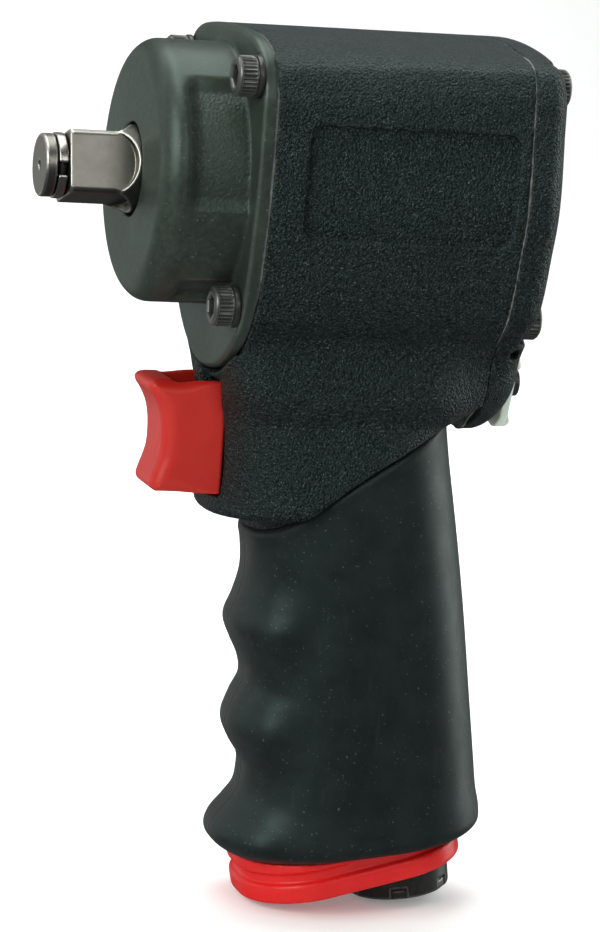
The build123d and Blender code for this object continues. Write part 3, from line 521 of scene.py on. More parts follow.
# ------------------------------------------------------------------ shared outlines (mm)
FRONT = [(0, 29.4), (11, 29.1), (20.5, 27.6), (26.0, 24.2), (29.0, 18.4), (29.2, 12.0),
         (29.3, 6.4), (28.6, -5.6), (27.6, -12.0), (25.9, -20.6), (23.6, -26.0), (19.6, -30.6),
         (14.2, -34.6), (7.6, -37.6), (0, -38.6)]
REAR = [(0, 30.0), (10, 29.5), (20, 28.0), (27.5, 25.6), (29.6, 21.1), (30.2, 14.3), (31.2, 0.9),
        (30.6, -5.1), (29.0, -11.2), (26.8, -19.5), (24.2, -25.2), (20.2, -30.2), (17.6, -34.4),
        (16.4, -39.0), (13.4, -43.2), (7.4, -47.4), (0, -49.9)]
# lower body: height, front, rear, half width, corner share; handle front and rear profiles
BODY = [(-26, 0.0, -53.0, 15.6, 0.3), (-29, 0.6, -54.0, 17.6, 0.3), (-32, 1.2, -54.6, 19.2, 0.32), (-35.5, 1.5, -55.0, 20.6, 0.36),
        (-39, 1.5, -55.0, 21.1, 0.42), (-42, 1.2, -54.6, 20.8, 0.5), (-45, 0.9, -53.0, 19.8, 0.62), (-47.6, 0.7, -50.0, 18.6, 0.72),
        (-50, 0.6, -49.0, 18.9, 0.78), (-54, 0.6, -49.4, 19.3, 0.84), (-60, 1.0, -50.2, 19.6, 0.92), (-66, 1.8, -51.4, 19.8, 0.96),
        (-74, 1.6, -52.6, 20.0, 0.96)]
G_FRONT = [(-46, -7.8), (-58, -8.0), (-66, -7.86), (-70, -8.1), (-74, -8.7), (-80.9, -9.13), (-85.9, -7.92), (-90.8, -6.4),
           (-95, -8.04), (-98.5, -9.83), (-102.7, -10.58), (-106.8, -8.82), (-111.9, -7.49), (-116.2, -9.34), (-119.4, -11.37), (-122.8, -11.65),
           (-126.4, -10.98), (-129.7, -8.65), (-132.9, -6.19), (-135.4, -5.79), (-138.3, -8.24), (-141, -11.6), (-146, -16.0)]
G_MEAN = [(-46, -8.8), (-66, -9.2), (-80, -10.2), (-100, -10.6), (-120, -11.2), (-130, -10.2), (-136, -9.2), (-146, -14)]
G_REAR = [(-46, -48.0), (-58, -50.1), (-63.9, -51.3), (-84.6, -55.2), (-105.6, -58.6), (-118, -60.6), (-124.1, -61.6),
          (-128.2, -62.6), (-131.3, -62.7), (-134.3, -61.4), (-137.5, -58.4), (-146, -54)]
G_HALF = [(-46, 19.0), (-58, 19.4), (-71, 19.7), (-100, 19.6), (-120, 19.6), (-127, 19.8), (-131.5, 20.2), (-135.5, 20.2),
          (-138.8, 19.0), (-146, 16)]
CASE_SCREWS = [(24.5, 21.2), (-24.5, 21.2), (20.0, -23.7), (-20.0, -23.7)]
COVER_SCREWS = [(22.4, 21.9), (-22.4, 21.9), (17.8, -24.6), (-17.8, -24.6)]


def closed(pts):
    c = catmull(pts)
    return np.vstack([c, np.stack([-c[::-1, 0], c[::-1, 1]], 1)[1:-1]])


SEC_F = Section(closed(FRONT), (-1, -60), (40, 40))
SEC_R = Section(closed(REAR), (-1, -60), (40, 40))


def barrel(x, y, z):
    t = np.clip(-x / 51.5, 0, 1)
    ya = np.abs(y)
    return (1 - t) * SEC_F(ya, z) + t * SEC_R(ya, z)


B_Z = [r[0] for r in BODY]
B_F, B_R, B_B, B_K = (Curve1(B_Z, [r[i] for r in BODY]) for i in (1, 2, 3, 4))
G_F, G_M, G_R, G_B = (Curve1(*zip(*t)) for t in (G_FRONT, G_MEAN, G_REAR, G_HALF))


def sstep(t):
    t = np.clip(t, 0, 1)
    return t * t * (3 - 2 * t)


def body_col(x, y, z):
    f, r, b = B_F(z), B_R(z), B_B(z)
    c, a = (f + r) / 2, (f - r) / 2
    k = np.where(x > c, B_K(z), 0.8)
    return rrect(x - c, y, a, b, b * k)


def grip_col(x, y, z, grow=0.0):
    f, r, b = G_M(z), G_R(z), G_B(z) + grow
    xx = x - (G_F(z) - f) * sstep((x + 21) / 10)
    return rrect(xx - (f + r) / 2, y, (f - r) / 2 + grow, b, b * 0.97)


def plane(x, z, px, pz, nx, nz):
    l = math.hypot(nx, nz)
    return ((x - px) * nx + (z - pz) * nz) / l


G_EDGE = Curve1(*zip(*[(-62, -38.6), (-50, -44.0), (-42, -48.2), (-35.6, -51.8), (-29.9, -55.3), (-24.4, -59.1), (-20.1, -62.5),
                       (-15.4, -66.3), (-11.6, -69.3), (-9.2, -70.6), (-6.5, -71.2), (6, -71.6)]))


def grip_top(x, z):            # positive above the slanted upper edge of the rubber
    return (z - G_EDGE(x)) * 0.82


def grip_bottom(x, z):         # positive above the bottom edge of the rubber
    g = math.radians(7.5)
    return plane(x, z, -26.2, -137.1, math.sin(g), math.cos(g))


IT = math.radians(9.0)


def inlet(x, z):
    """Coordinates along (s) and across (e) the leaning inlet axis."""
    dx, dz = x + 47.5, z + 146.2
    return dx * math.sin(IT) + dz * math.cos(IT), dx * math.cos(IT) - dz * math.sin(IT)


# ------------------------------------------------------------------ motor housing
def lower(x, y, z):
    col = rmax(body_col(x, y, z), -68.0 + 0.08 * (1 - x) - z, 2.8)
    return smax(col, z + 27.0, 3.0)


def f_housing(x, y, z):
    bar = barrel(x, y, z)
    out = smin(bar, lower(x, y, z), 4.5)
    neck = np.maximum(grip_col(x, y, z), z + 48)
    out = smin(out, neck, 3.0)
    out = rmax(out, -grip_top(x, z), 0.5)
    out = smax(out, -np.maximum(SEC_F(np.abs(y), z) - 0.9, 0.12 - x), 0.4)
    out = rmax(out, x - 2.6, 1.0)
    out = rmax(out, -51.66 - x, 0.16)
    core = np.maximum(grip_col(x, y, z, -3.0), -grip_bottom(x, z))
    core = np.maximum(core, z + 46)
    out = smin(out, core, 0.4)
    for cy, cz in CASE_SCREWS[::2]:
        tube = np.maximum(hyp(np.abs(y) - cy, z - cz) - 3.3, np.abs(x + 7.6) - 7.2)
        out = smin(out, tube, 1.6)
    # shallow panel on each side
    panel = np.maximum(rrect(x + 28.2, z - 2.0, 21.2, 11.0, 2.5), -(bar + 1.05))
    out = smax(out, -panel, 0.05)
    # bores and passages
    rho = hyp(y, z)
    cut = np.maximum(rho - 23.6, x + 13.2)
    cut = np.minimum(cut, rho - 22.3)
    cut = np.minimum(cut, np.maximum(rho - 25.4, np.abs(x + 26.5) - 3.0))
    v = hyp(y, z + 40.0)
    cut = np.minimum(cut, np.maximum(v - 6.95, x + 29.0))
    s, e = inlet(x, z)
    ch = hyp(e, y)
    cut = np.minimum(cut, np.maximum(ch - 8.55, s - 28.1))
    cut = np.minimum(cut, np.maximum(ch - 10.6, s - 14.0))
    cut = np.minimum(cut, np.maximum(ch - 6.8, s - 100.0))
    cut = np.minimum(cut, np.maximum(hyp(x + 32.2, y) - 4.0, np.abs(z + 47) - 3.2))
    cut = np.minimum(cut, np.maximum(hyp(x + 29.0, np.abs(y) - 11.3) - 3.4, z + 21.0))
    pocket = np.maximum(rrect(y, z + 51.95, 8.35, 11.75, 0.5), -7.0 - x)
    cut = np.minimum(cut, pocket)
    rod = hyp(y, z + 52.0)
    cut = np.minimum(cut, np.maximum(rod - 4.0, np.abs(x + 12.65) - 6.65))
    cut = np.minimum(cut, np.maximum(rod - 2.2, np.abs(x + 23) - 7.2))
    out = smax(out, -cut, 0.4)
    # tongue that closes the top of the trigger channel
    rib = np.maximum(np.maximum(np.abs(y) - 2.5, np.abs(z + 40.4) - 1.6), np.abs(x - 0.9) - 2.9)
    return smin(out, rib, 0.8)


field_obj("motor_housing_shell", f_housing, (-52.6, -33, -141.5), (4.6, 33, 31.5), 0.60, "housing",
          M_COAT, ("motor_housing",))


# ------------------------------------------------------------------ rear cover
def f_cover(x, y, z):
    d = smin(SEC_R(np.abs(y), z), lower(x, y, z), 4.5)
    r = 4.0 + 1.6 * sstep((-24 - z) / 12)
    out = rmax(d, -59.4 - x, r)
    out = rmax(out, x + 51.84, 0.16)
    rho = hyp(y, z)
    for cy, cz in COVER_SCREWS[::2]:
        p = hyp(np.abs(y) - cy, z - cz)
        out = rmax(out, -np.maximum(p - 4.95, x + 56.4), 0.7)
        out = np.maximum(out, -(p - 2.55))
    # small drain slot below each lower screw
    slot = hyp(np.maximum(np.abs(z + 30.4 + (np.abs(y) - 15.8) * 0.5) - 0.35, 0), x + 56.4) - 1.15
    slot = np.maximum(slot, 11.0 - np.abs(y))
    out = smax(out, -slot, 0.35)
    cut = np.maximum(rho - 23.6, -56.8 - x)
    cut = np.minimum(cut, hyp(y, z + 40.0) - 3.08)
    cut = np.minimum(cut, np.maximum(hyp(y, z + 35.2) - 1.28, -57.0 - x))
    # shallow turned ring on the flat rear face
    cut = np.minimum(cut, hyp(rho - 15.0, x + 59.4) - 0.5)
    return smax(out, -cut, 0.3)


field_obj("rear_cover_shell", f_cover, (-61.2, -33, -52), (-51.2, 33, 32), 0.45, "housing",
          M_COAT, ("rear_cover",))


# ------------------------------------------------------------------ hammer case
def cheek(x, y, z):
    """The two shallow as-cast pockets on each side, as a field in (x, z)."""
    a = smax(np.abs(z - 6.0) - 11.5, x - 15.6, 0.6)
    b = smax(np.abs(z + 24.5) - 4.6, x - 13.5, 0.6)
    b = np.maximum(b, 9.0 - np.abs(y))
    return smin(a, b, 0.1)


def f_case(x, y, z):
    rho = hyp(y, z)
    out = rmax(rho - 26.0, x - (20.5 + 0.35 - 0.017 * rho), 4.8)
    # pocket floors: crisp upper ledge, soft ramp forward and below
    fz = np.clip((20.3 - z) / 3.2, 0, 1) * sstep((z + 5.4) / 3.2) * (1 - sstep((x - 12.2) / 4.6))
    gz = sstep((-18.9 - z) / 1.2) * sstep((z + 30) / 3.0) * (1 - sstep((x - 10.6) / 4.0)) * sstep((np.abs(y) - 8.0) / 2.0)
    mz = np.clip((20.3 - z) / 3.2, 0, 1) * sstep((z + 21.5) / 2.6) * (1 - sstep((x - 13.0) / 4.0))
    out = smax(out, rho - (26.0 - 1.35 * np.maximum(fz, gz) - 0.45 * mz), 0.5)
    fl = rmax(SEC_F(np.abs(y), z), x - 3.0, 0.9)
    out = rmin(out, fl, 0.9)
    for cy, cz in CASE_SCREWS[::2]:
        p = hyp(np.abs(y) - cy, z - cz)
        out = smax(out, -np.maximum(p - 4.7, 3.0 - x), 0.6)
        out = np.maximum(out, -np.maximum(p - 2.53, SEC_F(np.abs(y), z) + 1.2))
    out = rmax(out, 0.36 - x, 0.22)
    cut = np.maximum(rho - 22.3, x - 10.6)
    cut = np.minimum(cut, np.maximum(rho - 11.02, x - 18.5))
    cut = np.minimum(cut, rho - 9.3)
    return rmax(out, -cut, 0.35)


def m_cast(x, y, z):
    rho = hyp(y, z)
    return np.clip(1 - np.maximum(cheek(x, y, z) + 0.6, 0) / 1.2, 0, 1) * (rho < 25.6) * (x > 3.4)


field_obj("hammer_case_shell", f_case, (-0.2, -31, -40.5), (21.4, 31, 31), 0.42, "housing",
          M_CASE, ("hammer_case",), {"cast": m_cast})


# ------------------------------------------------------------------ rubber grip
def f_grip(x, y, z):
    d = grip_col(x, y, z, 0.15)
    lip = sstep((grip_top(x, z) + 3.4) / 3.0)
    d = d - 0.25 * lip
    out = rmax(d, grip_top(x, z) + 0.30, 1.2)
    out = rmax(out, -grip_bottom(x, z), 2.6)
    out = np.maximum(out, -grip_col(x, y, z, -2.95))
    return np.maximum(out, -(np.maximum(barrel(x, y, z), x) - 0.05))


field_obj("rubber_grip", f_grip, (-66, -22.5, -142), (-2.5, 22.5, -45), 0.55, "housing",
          M_RUBBER, ("grip_sleeve",))

# ------------------------------------------------------------------ exhaust deflector
BT = math.radians(13.5)


def base(x, z):
    dx, dz = x + 27.4, z + 144.7
    return dx * math.cos(BT) - dz * math.sin(BT), dx * math.sin(BT) + dz * math.cos(BT)


def f_deflector(x, y, z):
    u, w = base(x, z)

    def ring(i):
        return rrect(u + 8.8, y, 23.8 - i, 17.4 - i, (17.4 - i) * 0.9)

    rim = rmax(ring(0.0), w - 4.1, 0.9)
    rim = rmax(rim, -w, 0.7)
    neck = np.maximum(ring(1.15), np.abs(w - 5.5) - 3.5)
    band = rmax(ring(0.15 + 0.8 * sstep((-2.0 - u) / 8.0)), np.abs(w - 11.2) - 5.0, 1.0)
    upper = np.maximum(ring(1.0), np.abs(w - 12.0) - 4.0)
    out = rmin(rim, neck, 0.5)
    out = smin(out, np.minimum(band, upper), 0.4)
    s, e = inlet(x, z)
    ch = hyp(e, y)
    cham = np.maximum(rrect(u + 8.8, y, 20.6, 14.2, 12.0), 2.4 - w)
    tube = ch - 13.4
    cham = np.maximum(cham, -tube)
    out = smax(out, -cham, 0.4)
    out = np.maximum(out, grip_bottom(x, z) + 0.05)
    cut = np.minimum(np.maximum(ch - 11.4, s - 8.05), ch - 8.8)
    cut = np.minimum(cut, np.maximum(ch - 10.7, 11.9 - s))
    for i in range(4):
        uu = u - (11.0 - 5.0 * i)
        sl = hyp(uu, np.maximum(np.abs(y) - 7.8, 0)) - 1.2
        cut = np.minimum(cut, np.maximum(sl, w - 3.5))
    return smax(out, -cut, 0.4)


field_obj("exhaust_deflector_shell", f_deflector, (-63, -19.5, -151), (-9, 19.5, -130), 0.42, "housing",
          M_DEFLECTOR, ("exhaust_deflector",))


# ------------------------------------------------------------------ trigger
def catrow(P, n=12):
    P = np.array(P, float)
    Q = np.vstack([2 * P[0] - P[1], P, 2 * P[-1] - P[-2]])
    out = []
    for i in range(1, len(Q) - 2):
        t = np.linspace(0, 1, n, endpoint=False)[:, None]
        p0, p1, p2, p3 = Q[i - 1], Q[i], Q[i + 1], Q[i + 2]
        out.append(0.5 * (2 * p1 + (p2 - p0) * t + (2 * p0 - 5 * p1 + 4 * p2 - p3) * t ** 2 + (3 * p1 - p0 - 3 * p2 + p3) * t ** 3))
    return np.vstack(out + [P[-1][None]])


TRIG = np.vstack([catrow([(13.2, -40.6), (14.5, -40.9), (15.25, -41.7), (15.0, -42.8), (13.9, -44.4), (12.6, -47.2), (11.95, -51.0), (12.0, -55.6),
                          (13.2, -59.7), (13.65, -61.4), (13.3, -62.6), (12.3, -63.3)]),
                  np.array([(-0.6, -63.3), (-0.6, -40.6)])])
SEC_T = Section(TRIG, (-4, -67), (20, -37), 0.12)


def f_trigger(x, y, z):
    out = rmax(SEC_T(x, z), np.abs(y) - 8.0, 0.8 + 2.3 * sstep((x - 1.5) / 8))
    inner = smax(smax(np.abs(y) - 6.2, -60.9 - z, 1.0), x - 10.4, 1.2)
    out = smax(out, -inner, 0.5)
    rod = hyp(y, z + 52.0)
    boss = np.maximum(rod - 3.6, np.abs(x - 7.9) - 3.6)
    out = smin(out, boss, 0.8)
    return smax(out, -np.maximum(rod - 2.03, x - 9.6), 0.2)


field_obj("trigger_shell", f_trigger, (-1.4, -9, -64), (17.6, 9, -40), 0.28, "trigger",
          M_TRIGGER, ("trigger",))

# ------------------------------------------------------------------ anvil
SR = math.radians(17.0)


def f_anvil(x, y, z):
    rho = hyp(y, z)
    a = y * math.cos(SR) + z * math.sin(SR)
    b = -y * math.sin(SR) + z * math.cos(SR)
    # shank and nose as turned
    turned = rho - (8.65 - 0.30 * sstep((x - 23.6) / 1.8))
    out = rmax(turned, x - 34.2, 0.6)
    # four milled flats that run out towards the case with a half-round end
    fa, fb = np.abs(a), np.abs(b)
    hi_, lo_ = np.maximum(fa, fb), np.minimum(fa, fb)
    end = 21.0 + 4.3 * (1 - np.sqrt(np.maximum(1 - (np.minimum(lo_, 5.92) / 5.95) ** 2, 0.0)))
    mill = rmax((end - x) * 0.75, 6.325 - hi_, 0.25)
    out = smax(out, -mill, 0.28)
    nose = rmax(rho - 6.2, x - 38.9, 0.55)
    out = np.minimum(out, nose)
    groove = np.maximum(np.abs(x - 35.4) - 1.2, 3.6 - rho)
    out = rmax(out, -groove, 0.2)
    out = rmax(out, -np.maximum(rho - 0.85, 37.4 - x), 0.25)
    # inner end and striking lugs
    tail = np.maximum(rho - 8.2, x - 5.6)
    out = np.where(x < 5.6, tail, out)
    ang = np.abs(z) - 3.7
    lug1 = np.maximum(np.maximum(rho - 10.4, ang), np.maximum(-y, np.abs(x - 2.15) - 3.05))
    lug2 = np.maximum(np.maximum(rho - 10.4, ang), np.maximum(y, np.abs(x + 4.95) - 3.05))
    out = smin(out, np.minimum(lug1, lug2), 0.5)
    return np.maximum(out, -8.1 - x)


field_obj("anvil_shaft", f_anvil, (-9, -11.2, -11.2), (39.6, 11.2, 11.2), 0.24, "anvil",
          M_ANVIL, ("anvil",))


# ------------------------------------------------------------------ inlet bushing
def f_inlet(x, y, z):
    s, e = inlet(x, z)
    ch = hyp(e, y)
    out = rmax(ch - 10.9, np.abs(s - 3.65) - 4.35, 0.7)
    out = np.minimum(out, rmax(ch - 8.5, s - 28.0, 0.5) + 0 * x)
    th = np.arctan2(y, e)
    seg = (th + math.radians(15)) % math.radians(60) - math.radians(30)
    tang = ch * np.sin(seg)
    notch = np.maximum(np.maximum(np.abs(tang) - 1.6, 10.45 - ch * np.cos(seg)), s - 1.5)
    deep = np.maximum(np.maximum(np.abs(tang) - 1.6, 10.0 - ch * np.cos(seg)), np.abs(s - 1.45) - 0.3)
    out = rmax(out, -np.minimum(notch, deep), 0.12)
    bore = np.maximum(ch - (5.7 - 0.0), s - 12.0)
    bore = np.minimum(bore, ch - 5.0)
    # thread turns in the mouth
    pitch = 1.41
    ph = (s / pitch + th / (2 * math.pi)) % 1.0
    thr = ch - (5.7 + 0.55 * (1 - np.abs(2 * ph - 1)))
    bore = np.minimum(bore, np.maximum(thr, np.abs(s - 5.5) - 6.0))
    out = smax(out, -bore, 0.25)
    return np.maximum(out, -0.7 - s)


field_obj("inlet_bushing_body", f_inlet, (-60, -12, -149), (-30, 12, -115), 0.34, "housing",
          M_INLET, ("inlet_bushing",))


# ------------------------------------------------------------------ reverse knob
def f_knob(x, y, z):
    a, r0 = math.radians(-108), 3.4
    u = y * math.cos(a) + (z + 40.0) * math.sin(a)
    v = -y * math.sin(a) + (z + 40.0) * math.cos(a)
    d = rrect(u, v, 8.2, 8.2, 4.2)
    d2 = rrect((u - v) * 0.7071, (u + v) * 0.7071, 9.4, 9.4, 4.0)
    d = smax(d, d2, 1.0)
    out = rmax(d, -62.4 - x, 1.3)
    out = rmax(out, x + 58.95, 0.3)
    for s in (1, -1):
        sc = rrect(v - s * 6.6, u, 2.7, 6.0, 2.6)
        out = smax(out, -np.maximum(sc, x + 60.8), 0.7)
    c = hyp(y, z + 40.0)
    cut = np.maximum(c - 3.02, -61.45 - x)
    cut = np.minimum(cut, c - 1.6)
    return smax(out, -cut, 0.2)


field_obj("reverse_knob_body", f_knob, (-63.4, -13, -53), (-58.4, 13, -27), 0.3, "reverse",
          M_KNOB, ("reverse_knob",))


# ------------------------------------------------------------------ turned pieces as swept grids
def lathe(profile, nth, close=False):
    """profile: list of (x, r or r(theta)); returns vertices around +X and quads."""
    th = np.linspace(0, 2 * np.pi, nth, endpoint=False)
    V, F = [], []
    for x, r in profile:
        rr = r(th) if callable(r) else np.full(nth, float(r))
        xx = x(th) if callable(x) else np.full(nth, float(x))
        V.append(np.stack([xx, rr * np.cos(th), rr * np.sin(th)], 1))
    n = len(profile)
    for i in range(n - 1 if not close else n):
        j = (i + 1) % n
        a = np.arange(nth)
        b = (a + 1) % nth
        F.append(np.stack([i * nth + a, i * nth + b, j * nth + b, j * nth + a], 1))
    return np.vstack(V), np.vstack(F)


def cap(V, F, ring0, nth, flip):
    c = V[ring0:ring0 + nth].mean(0)
    V = np.vstack([V, c])
    a = np.arange(nth)
    b = (a + 1) % nth
    tri = [[ring0 + i, ring0 + j, len(V) - 1] if not flip else [ring0 + j, ring0 + i, len(V) - 1] for i, j in zip(a, b)]
    return V, tri


def screw_mesh(seat_len, shank_len, teeth=30):
    """Socket-head cap screw along +X, head face at x = 0, knurled head, hex socket, threaded shank."""
    nth = teeth * 4
    R = 3.95

    def knurl(depth):
        def r(th):
            p = (th * teeth / (2 * np.pi)) % 1.0
            return R - depth * np.clip(np.abs(2 * p - 1) * 1.8 - 0.35, 0, 1)
        return r

    def hexr(af):
        def r(th):
            q = (th % (np.pi / 3)) - np.pi / 6
            return (af / 2) / np.cos(q)
        return r

    prof = [(-2.9, 0.35), (-2.75, hexr(4.05)), (-0.45, hexr(4.05)), (-0.12, lambda t: hexr(4.05)(t) + 0.12), (0.0, lambda t: hexr(4.05)(t) + 0.3),
            (0.0, R - 0.95), (-0.10, R - 0.62), (-0.38, R - 0.28), (-0.62, R - 0.20)]
    knurl_end = -(seat_len - 0.35)
    for k, dep in ((-0.72, 0.05), (-0.85, 0.20), (-1.4, 0.22), (-2.0, 0.22), (-2.6, 0.22)):
        if k > knurl_end + 0.2:
            prof.append((k, knurl(dep)))
    prof += [(knurl_end + 0.12, knurl(0.22)), (knurl_end, knurl(0.05)), (knurl_end - 0.08, R - 0.14),
             (-seat_len + 0.05, R - 0.16), (-seat_len, R - 0.30), (-seat_len, 2.9), (-seat_len - 0.15, 2.6), (-seat_len - 0.4, 2.42)]
    x0 = -seat_len - 2.2
    prof.append((x0, 2.42))
    pitch, x_end = 0.8, -seat_len - shank_len
    k = 0
    while x0 - k * 0.2 > x_end + 0.7:
        xx = x0 - 0.2 - k * 0.2
        prof.append((xx, lambda t, xx=xx: 2.44 - 0.36 * np.abs(2 * ((xx / pitch + t / (2 * np.pi)) % 1.0) - 1)))
        k += 1
    prof += [(x_end + 0.45, 2.05), (x_end, 1.6), (x_end, 0.3)]
    V, F = lathe(prof, nth)
    F = F[:, ::-1]
    faces = F.tolist()
    n = len(prof)
    V, t1 = cap(V, F, 0, nth, False)
    V, t2 = cap(V, F, (n - 1) * nth, nth, True)
    return V, faces + t1 + t2


def group(name, base_mesh, centres, x_head, direction, body, mat, rep):
    Vb, Fb = base_mesh
    VV, FF, o = [], [], 0
    for i, (cy, cz) in enumerate(centres):
        a = math.radians(17 + 41 * i)
        V = Vb.copy()
        y, z = V[:, 1] * math.cos(a) - V[:, 2] * math.sin(a), V[:, 1] * math.sin(a) + V[:, 2] * math.cos(a)
        V = np.stack([x_head + direction * V[:, 0], cy + direction * y, cz + z], 1)
        VV.append(V)
        FF += [[k + o for k in f] for f in Fb]
        o += len(V)
    V = np.vstack(VV)
    ob = mesh_obj(name, V, FF, body, mat, rep)
    ang = ob.modifiers.new("sharp", "EDGE_SPLIT") if False else None
    return ob


def mark_sharp(ob, deg=38):
    me = ob.data
    import bmesh
    bm = bmesh.new()
    bm.from_mesh(me)
    for e in bm.edges:
        if len(e.link_faces) == 2:
            e.smooth = e.calc_face_angle(0.0) < math.radians(deg)
    lay = bm.verts.layers.float.new("edge")
    for v in bm.verts:
        m = [e.calc_face_angle_signed(0.0) for e in v.link_edges if len(e.link_faces) == 2]
        v[lay] = max(-1.0, min(1.0, max(m) * 1.4 if m else 0.0))
    bm.to_mesh(me)
    bm.free()
    me.update()


front = group("case_screw_set", screw_mesh(3.9, 18.4), CASE_SCREWS, 8.0, 1, "housing", M_SCREW, ("case_screws",))
rear = group("cover_screw_set", screw_mesh(3.2, 18.0), COVER_SCREWS, -60.6, -1, "housing", M_SCREW, ("rear_cover_screws",))


def washer_mesh(t, r0, r1):
    c = 0.16
    prof = [(0, r0 + c), (0, r1 - c), (c * 0.3, r1 - c * 0.3), (c, r1), (t - c, r1), (t - c * 0.3, r1 - c * 0.3), (t, r1 - c),
            (t, r0 + c), (t - c, r0), (c, r0)]
    V, F = lathe(prof, 72, True)
    return V, F[:, ::-1].tolist()


w1 = group("case_washer_set", washer_mesh(1.0, 2.6, 4.15), CASE_SCREWS, 3.03, 1, "housing", M_SCREW, ("case_screw_washers",))
w2 = group("cover_washer_set", washer_mesh(0.92, 2.6, 4.15), COVER_SCREWS, -56.42, -1, "housing", M_SCREW, ("rear_cover_washers",))


def ring_mesh(x0, x1, r0, r1, gap, centre_deg, n=150):
    """Split ring of rounded square wire, gap centred on the given angle."""
    half = math.asin(gap / 2 / ((r0 + r1) / 2))
    th = np.linspace(math.radians(centre_deg) + half, math.radians(centre_deg) + 2 * math.pi - half, n)
    k = 0.28
    sec = []
    for cx, cr, a0 in ((x1 - k, r1 - k, 0), (x0 + k, r1 - k, 90), (x0 + k, r0 + k, 180), (x1 - k, r0 + k, 270)):
        for a in np.linspace(a0, a0 + 90, 5):
            sec.append((cx + k * math.cos(math.radians(a)), cr + k * math.sin(math.radians(a))))
    sec = np.array(sec)
    m = len(sec)
    V, F = [], []
    ends = [(0, 0.72), (1, 0.93)]
    for i, t in enumerate(th):
        sc = 1.0
        c = sec.mean(0)
        if i in (0, n - 1):
            sc = 0.80
        s = c + (sec - c) * sc
        V.append(np.stack([s[:, 0], s[:, 1] * math.cos(t), s[:, 1] * math.sin(t)], 1))
    V = np.vstack(V)
    for i in range(n - 1):
        for j in range(m):
            q = (j + 1) % m
            F.append([i * m + j, i * m + q, (i + 1) * m + q, (i + 1) * m + j])
    F.append(list(range(m))[::-1])
    F.append([(n - 1) * m + j for j in range(m)])
    return V, F


V, F = ring_mesh(34.5, 36.3, 5.15, 6.45, 2.4, 0.0)
ring = mesh_obj("friction_ring_wire", V, F, "anvil", M_RING, ("friction_ring",))
for ob in (front, rear, w1, w2, ring):
    mark_sharp(ob)

# ------------------------------------------------------------------ CAD nodes that stay, with their own finishes
FIN = {"gasket": M_GASKET, "screw_steel": M_SCREW, "bright_steel": M_STEEL, "bronze": M_BRONZE, "seal_rubber": M_SEAL,
       "vane_phenolic": M_VANE, "muffler_felt": M_FELT, "knob_pale": M_KNOB}
slots = {s["node"]: s["material_slot"] for s in frame["record"]["subparts"]}
for name, ob in NODES.items():
    mat = FIN.get(slots.get(name, ""), M_STEEL)
    if name == "inlet_screen":
        mat = M_SCREEN
    if name == "rear_gasket":
        mat = M_GASKET2
    ob.data.materials.clear()
    ob.data.materials.append(mat)

# ------------------------------------------------------------------ stage, camera and light
scene = bpy.context.scene
lo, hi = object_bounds()
floor_z = lo.z - 0.0004
n = 40
prof = [(-1.6, 0.0), (0.9, 0.0)] + [(0.9 + 0.5 * math.sin(t), 0.5 - 0.5 * math.cos(t)) for t in np.linspace(0.05, math.pi / 2, n)] + [(1.4, 2.4)]
# the sweep runs away from the camera, towards -Y
fv, ff = [], []
for i, (d, h) in enumerate(prof):
    fv += [(-3.0, -d, floor_z + h), (3.0, -d, floor_z + h)]
    if i:
        ff.append([2 * i - 2, 2 * i - 1, 2 * i + 1, 2 * i])
fm = bpy.data.meshes.new("studio_floor")
fm.from_pydata(fv, [], ff)
fm.polygons.foreach_set("use_smooth", [True] * len(fm.polygons))
floor = bpy.data.objects.new("studio_floor", fm)
scene.collection.objects.link(floor)
floor.visible_glossy = False
fl = Nodes("studio_white")
fl.bsdf.inputs["Emission Color"].default_value = (1, 1, 1, 1)
fl.bsdf.inputs["Emission Strength"].default_value = 0.18
fm.materials.append(fl.finish(fl.mix(fl.noise(60, 2.0), (0.86, 0.86, 0.86), (0.88, 0.88, 0.88)), 0.8))
floor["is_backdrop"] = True

# camera: the tool seen from its left side, 18 degrees round to the front, 10 degrees up, rolled 4.6 degrees
phi, ele, rho_ = math.radians(18.07), math.radians(10.165), math.radians(4.551)
v = Vector((math.sin(phi) * math.cos(ele), math.cos(phi) * math.cos(ele), math.sin(ele)))
r = Vector((-math.cos(phi), math.sin(phi), 0))
u = Vector((-math.sin(ele) * math.sin(phi), -math.sin(ele) * math.cos(phi), math.cos(ele)))
rr = r * math.cos(rho_) + u * math.sin(rho_)
uu = u * math.cos(rho_) - r * math.sin(rho_)
loc = Vector((-0.01926, 0, -0.058613)) + v * 0.7292
camd = bpy.data.cameras.new("camera")
camd.lens = 139.06
camd.sensor_width = 36
camd.clip_start, camd.clip_end = 0.05, 20
cam = bpy.data.objects.new("camera", camd)
scene.collection.objects.link(cam)
m = Matrix((rr, uu, v)).transposed().to_4x4()
m.translation = loc
cam.matrix_world = m
scene.camera = cam


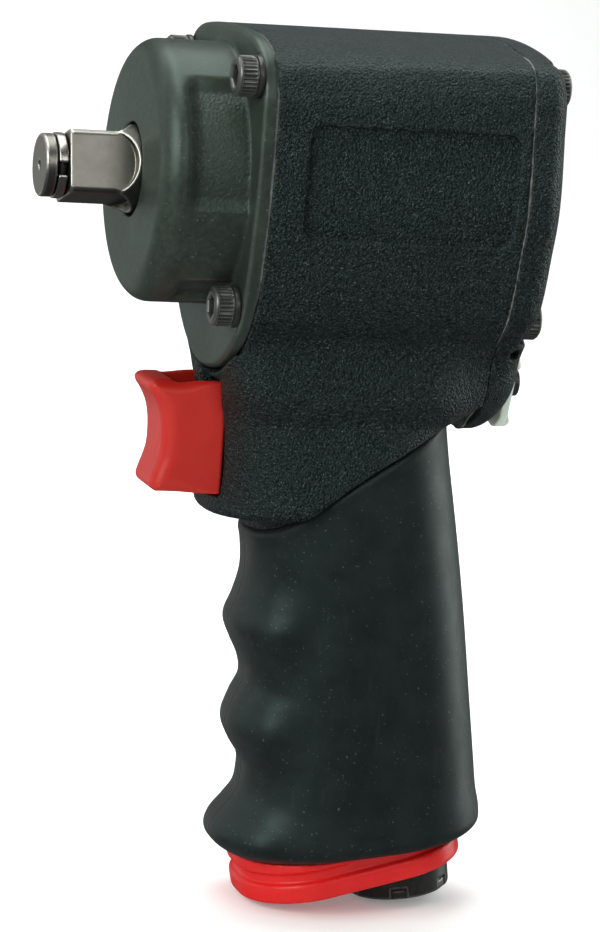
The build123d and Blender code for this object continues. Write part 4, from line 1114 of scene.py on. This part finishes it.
def area(name, loc_, target, size, power, color=(1, 1, 1), size_y=None):
    d = bpy.data.lights.new(name, "AREA")
    d.shape = "RECTANGLE"
    d.size, d.size_y = size, size_y or size
    d.energy = power
    d.color = color
    o = bpy.data.objects.new(name, d)
    scene.collection.objects.link(o)
    o.location = loc_
    o.rotation_mode = "QUATERNION"
    o.rotation_quaternion = (Vector(target) - Vector(loc_)).to_track_quat("-Z", "Y")
    return o


T = (-0.02, 0, -0.06)
area("top_box", (0.05, -0.05, 0.85), T, 0.8, 6.0, (0.97, 1.0, 0.97), 0.6)
area("key_box", (0.80, 0.55, 0.45), T, 0.6, 8.5, (0.97, 1.0, 0.96), 0.7)
area("fill_box", (-0.30, 1.10, 0.50), T, 0.5, 2.2, (1.0, 1.0, 0.99), 0.5)
area("rim_box", (-0.75, -0.12, 0.15), T, 0.35, 4.0, (0.96, 1.0, 0.96), 0.9)
card = area("card_box", (0.33, -0.78, -0.10), T, 0.40, 0.5, (1.0, 1.0, 0.97), 0.8)
card.visible_camera = False
area("front_box", (0.90, -0.50, 0.25), T, 0.5, 1.5, (0.97, 1.0, 0.96), 0.9)
area("back_box", (0.0, -0.45, 0.60), (-0.02, -0.9, -0.1), 1.2, 7.0, (1, 1, 1), 0.5)

world = bpy.data.worlds.new("studio")
scene.world = world
world.use_nodes = True
wn = world.node_tree
wn.nodes.clear()
wo = wn.nodes.new("ShaderNodeOutputWorld")
bg1 = wn.nodes.new("ShaderNodeBackground")
bg2 = wn.nodes.new("ShaderNodeBackground")
lp = wn.nodes.new("ShaderNodeLightPath")
mx = wn.nodes.new("ShaderNodeMixShader")
bg1.inputs[0].default_value = (0.93, 0.95, 1.0, 1)
bg1.inputs[1].default_value = 0.08
bg2.inputs[0].default_value = (1, 1, 1, 1)
bg2.inputs[1].default_value = 1.0
wn.links.new(lp.outputs["Is Camera Ray"], mx.inputs[0])
wn.links.new(bg1.outputs[0], mx.inputs[1])
wn.links.new(bg2.outputs[0], mx.inputs[2])
wn.links.new(mx.outputs[0], wo.inputs[0])
scene.view_settings.view_transform = "Standard"

lo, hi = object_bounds()
